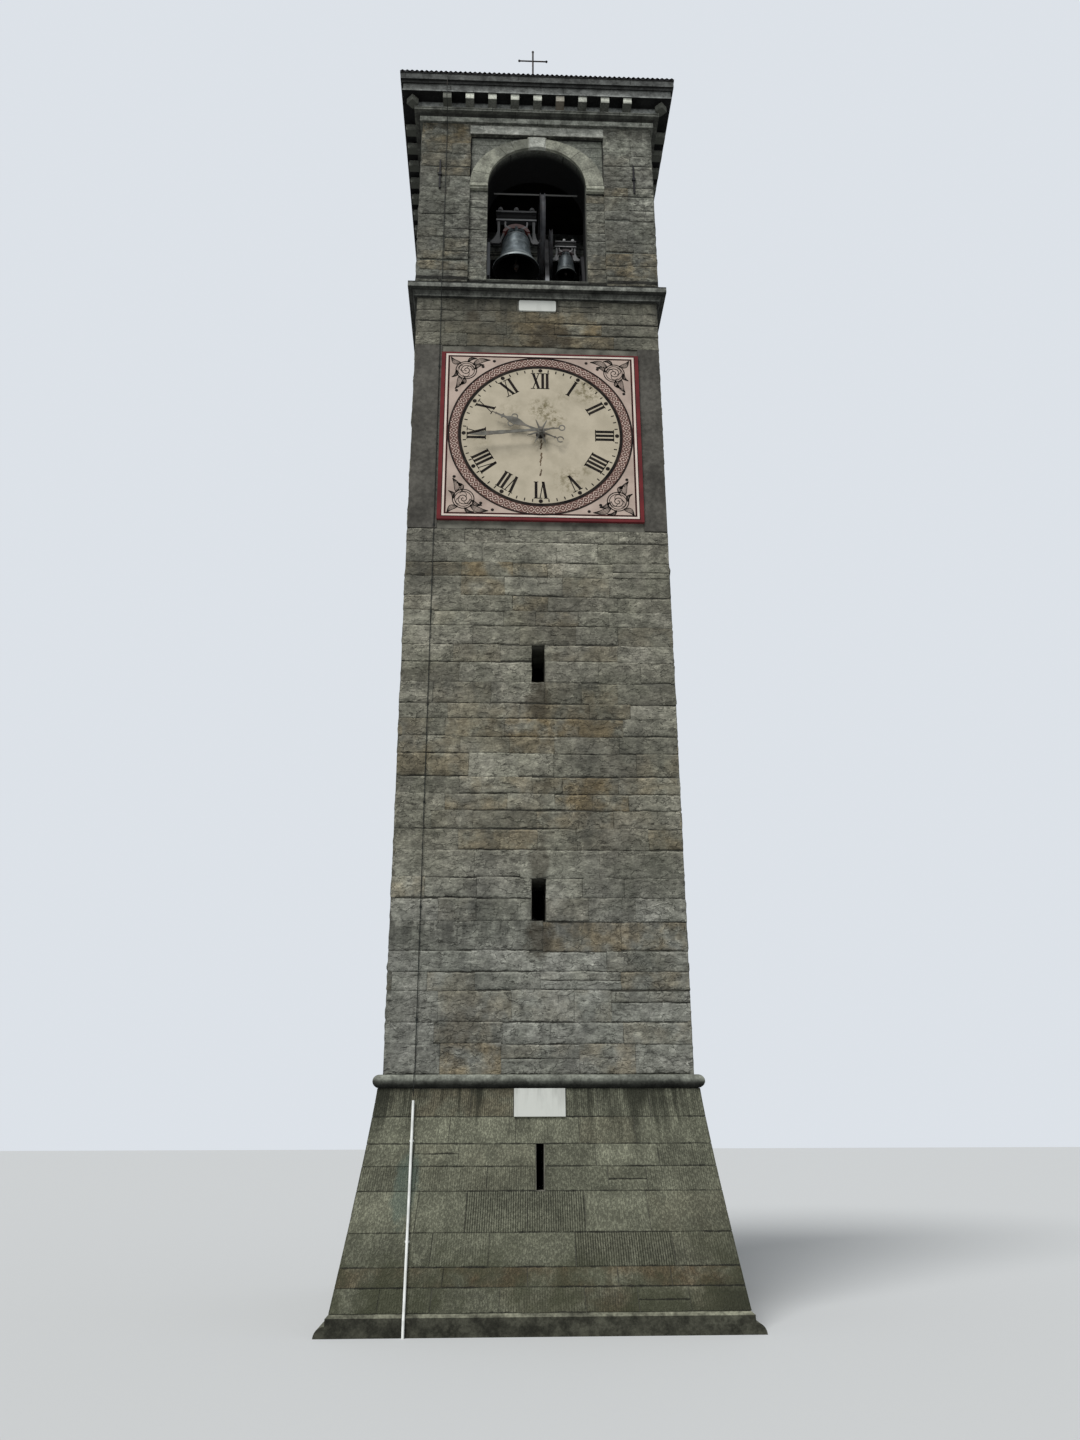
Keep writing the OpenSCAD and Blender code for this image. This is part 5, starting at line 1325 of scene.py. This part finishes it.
def makeMarkTree():
    tree, given = newGroup("dialMarks", "GeometryNodeTree", [
        ("Marks", "Geometry", None), ("Width", "Float", 0.012), ("Length", "Float", 0.05),
        ("Thick", "Float", 0.0012), ("Corners", "Int", 4), ("Material", "Material", None)])
    plate = get(tree, "GeometryNodeMeshCylinder", {"Vertices": given["Corners"], "Radius": math.sqrt(0.5),
                                                   "Depth": 1.0}, fill_type="NGON")
    for turn in ((0, 0, math.pi / 4), (math.pi / 2, 0, 0)):  # square to its edges, then upright
        plate = then(plate, "GeometryNodeTransform", {"Rotation": turn})
    size = combine(given["Width"], given["Thick"], given["Length"])
    laid = get(tree, "GeometryNodeInstanceOnPoints", {"Points": given["Marks"], "Instance": plate,
                                                      "Rotation": named(tree, "markTurn"), "Scale": size})
    laid = get(tree, "GeometryNodeRealizeInstances", {0: laid})
    laid = then(laid, "GeometryNodeSetMaterial", {"Material": given["Material"]})
    return endGroup(tree, "Geometry", Geometry=laid)


markTree = makeMarkTree()


def layMarks(name, spots, finish, width, length, corners=4, lift=0.0010):
    places = [(clock["x"] + x, clock["face"] - lift, clock["z"] + z) for x, z, turn in spots]
    turns = [(0.0, turn, 0.0) for x, z, turn in spots]
    values = {"Width": width, "Length": length, "Thick": 0.0012, "Corners": corners, "Material": look[finish]}
    grow(name, places, {"markTurn": turns}, markTree, values, "painted_plaster")


def around(radius, count, skip=0, start=0.0):
    angles = [start + 2 * math.pi * i / count for i in range(count) if not skip or i % skip]
    return [(radius * math.sin(a), radius * math.cos(a), a) for a in angles]


quarter = math.pi / 2
apart = quarter + math.pi / braid["waves"] / 2  # where the two waves of the braid are apart
dialMarks = {  # places, paint, width, length, corners, height off the plaster
    "minuteMarks": (around(1.237, 60, skip=5), "blackPaint", 0.018, 0.052, 4, 0.0010),
    "hourDots": (around(1.243, 12), "blackPaint", 0.050, 0.050, 10, 0.0010),
    "braidBeads": (around(braid["radius"], braid["waves"] * 2, start=apart), "rosePaint", 0.022, 0.022, 8,
                   0.0028),
    "outerBeads": (around(1.464, braid["waves"], start=quarter), "creamPaint", 0.014, 0.014, 6, 0.0008),
}
for name, given in dialMarks.items():
    layMarks(name, *given)

# Scrollwork in the four corners: a rosette with a spiral and pointed leaves
scroll = {
    "at": 1.225, "radius": 0.155, "line": 0.016, "size": 1.10, "petals": (25, 145, 265), "sway": 0.035,
    # each leaf: its start, its tip, half its width
    "leaves": (((0.10, 0.10), (0.36, 0.19), 0.045), ((0.13, 0.02), (0.27, 0.10), 0.030),
               ((-0.10, -0.11), (-0.16, -0.34), 0.045), ((-0.02, -0.13), (-0.10, -0.27), 0.030),
               ((-0.08, 0.12), (-0.23, 0.235), 0.040), ((0.02, 0.145), (0.16, 0.21), 0.025),
               ((-0.145, 0.0), (-0.215, -0.13), 0.025)),
    "dots": ((0.948, 1.297), (0.763, 1.415), (1.278, 0.976), (1.377, 0.821)),
}


def between(a, b):
    return [((p[0] + q[0]) / 2, (p[1] + q[1]) / 2) for p, q in zip(a, b)]


def leafRims(start, tip, bulge, steps=14):
    dx, dz = tip[0] - start[0], tip[1] - start[1]
    size = math.hypot(dx, dz)
    rims = ([], [])
    for i in range(steps + 1):
        t = i / steps
        w = bulge * math.sin(math.pi * t ** 0.8) * (1 - 0.25 * t)
        sway = scroll["sway"] * math.sin(math.pi * t)
        for rim, off in zip(rims, (sway + w, sway - w)):
            rim.append((start[0] + dx * t - dz / size * off, start[1] + dz * t + dx / size * off))
    return rims


def scrollPaths():  # each path with its width and whether it closes
    r, line = scroll["radius"], scroll["line"]
    paths = [(circlePath(r, 40), line, True), (circlePath(r * 0.8, 36), line * 0.7, True)]
    spiral = [(r * 0.62 * (1 - t / 60) * math.cos(t * 0.21), r * 0.62 * (1 - t / 60) * math.sin(t * 0.21))
              for t in range(56)]
    paths.append((spiral, line * 0.8, False))
    for a in scroll["petals"]:
        x, z = r * 0.42 * math.cos(math.radians(a)), r * 0.42 * math.sin(math.radians(a))
        paths.append((circlePath(r * 0.33, 12, x, z, a - 60, 200), line * 0.6, False))
    for start, tip, bulge in scroll["leaves"]:
        left, right = leafRims(start, tip, bulge)
        middle = between(left, right)
        paths += [(left, line * 0.8, False), (right, line * 0.8, False), (middle, line * 0.5, False)]
        paths += [(between(rim, middle), line * 0.4, False) for rim in (left, right)]  # veins
    return paths


def scrollOutlines(mirrorX, mirrorZ):
    out = []
    for path, width, closed in scrollPaths():
        out += bandOutlines([((x * scroll["size"] - scroll["at"]) * mirrorX,
                              (z * scroll["size"] + scroll["at"]) * mirrorZ) for x, z in path], width, closed)
    return out


corners = ((1, 1), (1, -1), (-1, 1), (-1, -1))
scrolls = [shape for mirrorX, mirrorZ in corners for shape in scrollOutlines(mirrorX, mirrorZ)]
paintPiece("cornerScrolls", scrolls, 0.0006, "blackPaint", 0.0010)
cornerDots = [(sideX * x, sideZ * z, 0.0) for sideX, sideZ in corners for x, z in scroll["dots"]]
layMarks("cornerDots", cornerDots, "blackPaint", 0.038, 0.038, corners=8)

rust = {"seed": 5, "dashes": (0, 1, 2, 4, 5, 6, 7, 9, 10), "pitch": 0.062, "widths": (0.014, 0.028)}


def rustOutlines():  # broken streak from the hub down to six
    dice = random.Random(rust["seed"])
    out = []
    for k in rust["dashes"]:
        x, z = 0.004 + 0.010 * math.sin(k * 1.7), -0.10 - k * rust["pitch"]
        path = [(x, z), (x + 0.008, z - 0.02), (x - 0.005, z - 0.045), (x + 0.004, z - 0.058)]
        out += bandOutlines(path, dice.uniform(*rust["widths"]))
    return out


paintPiece("rustStreak", rustOutlines(), 0.0003, "rustPaint", 0.0008)
print("clock painted")


# Arch stones: pale wedges round each arch

archLook = {
    "joints": (0.0, 24, 46, 66, 81.5, 98.5, 116.5, 129, 150, 166, 180.0), "steps": 5, "gap": 0.002,
    "inner": 0.874, "outX": 1.195, "outZ": 1.085, "face": 0.052, "thick": 0.03, "proud": 0.010,
    "uneven": 0.006, "keyProud": 0.014, "keyRise": 0.02, "broken": (6, 7), "lost": 0.06, "ragged": 0.04,
    "bevel": 0.006,
}


def wedgeRing(dice, start, end, isKey, isBroken):  # outline of one wedge, outer edge first
    inner, outer = [], []
    trim = math.degrees(archLook["gap"]) / 2
    for i in range(archLook["steps"] + 1):
        t = i / archLook["steps"]
        a = math.radians(start + trim + (end - start - 2 * trim) * t)
        radius = 1.0 / math.hypot(math.cos(a) / archLook["outX"], math.sin(a) / archLook["outZ"])
        if isKey:
            radius += archLook["keyRise"]
        if isBroken:
            radius -= archLook["lost"] * math.sin(math.pi * t) + dice.uniform(0, archLook["ragged"])
        inner.append((archLook["inner"] * math.cos(a), archLook["inner"] * math.sin(a)))
        outer.append((radius * math.cos(a), radius * math.sin(a)))
    return outer + inner[::-1]


def makeArchStones(side):
    dice = random.Random(90 + side)
    made = bmesh.new()
    for index, (start, end) in enumerate(zip(archLook["joints"], archLook["joints"][1:])):
        isKey = start < 90 < end
        lift = archLook["proud"] + dice.uniform(0, archLook["uneven"])
        if isKey:
            lift += archLook["keyProud"]
        y = -(wall["recess"] + archLook["face"] + lift)
        ring = wedgeRing(dice, start, end, isKey, side == 0 and index in archLook["broken"])
        front, back = [[made.verts.new((x, at, wall["spring"] + z)) for x, z in ring]
                       for at in (y, y + archLook["thick"])]
        n = len(ring)
        made.faces.new(front[::-1])
        made.faces.new(back)
        for i in range(n):
            made.faces.new((front[i], front[(i + 1) % n], back[(i + 1) % n], back[i]))
    bmesh.ops.recalc_face_normals(made, faces=made.faces)
    turnToSide(made, made.verts, side)
    name = "archStones" + sideNames[side]
    addPiece(name, meshOf(name, made), "paleStone", "tower", "pale_stone", archLook["bevel"])


for side in range(4):
    makeArchStones(side)
print("arch stones")


# White balls on the yokes: places from the bell's axis, height above the journals

balls = {"big": {"across": (-0.295, 0.0, 0.295), "above": 0.790, "radius": 0.042},
         "small": {"across": (-0.0254, 0.1326), "above": 0.4645, "radius": 0.028}}
for size, ball in balls.items():
    bell = bells[size]
    made = bmesh.new()
    for x in ball["across"]:
        spot = Matrix.Translation((bell["x"] + x, bell["y"], bell["axis"] + ball["above"]))
        bmesh.ops.create_icosphere(made, subdivisions=3, radius=ball["radius"], matrix=spot)
    for face in made.faces:
        face.smooth = True
    name = size + "YokeBalls"
    addPiece(name, meshOf(name, made), "whitePaint", size + "_bell_set", "yoke_iron")
print("bell fittings")
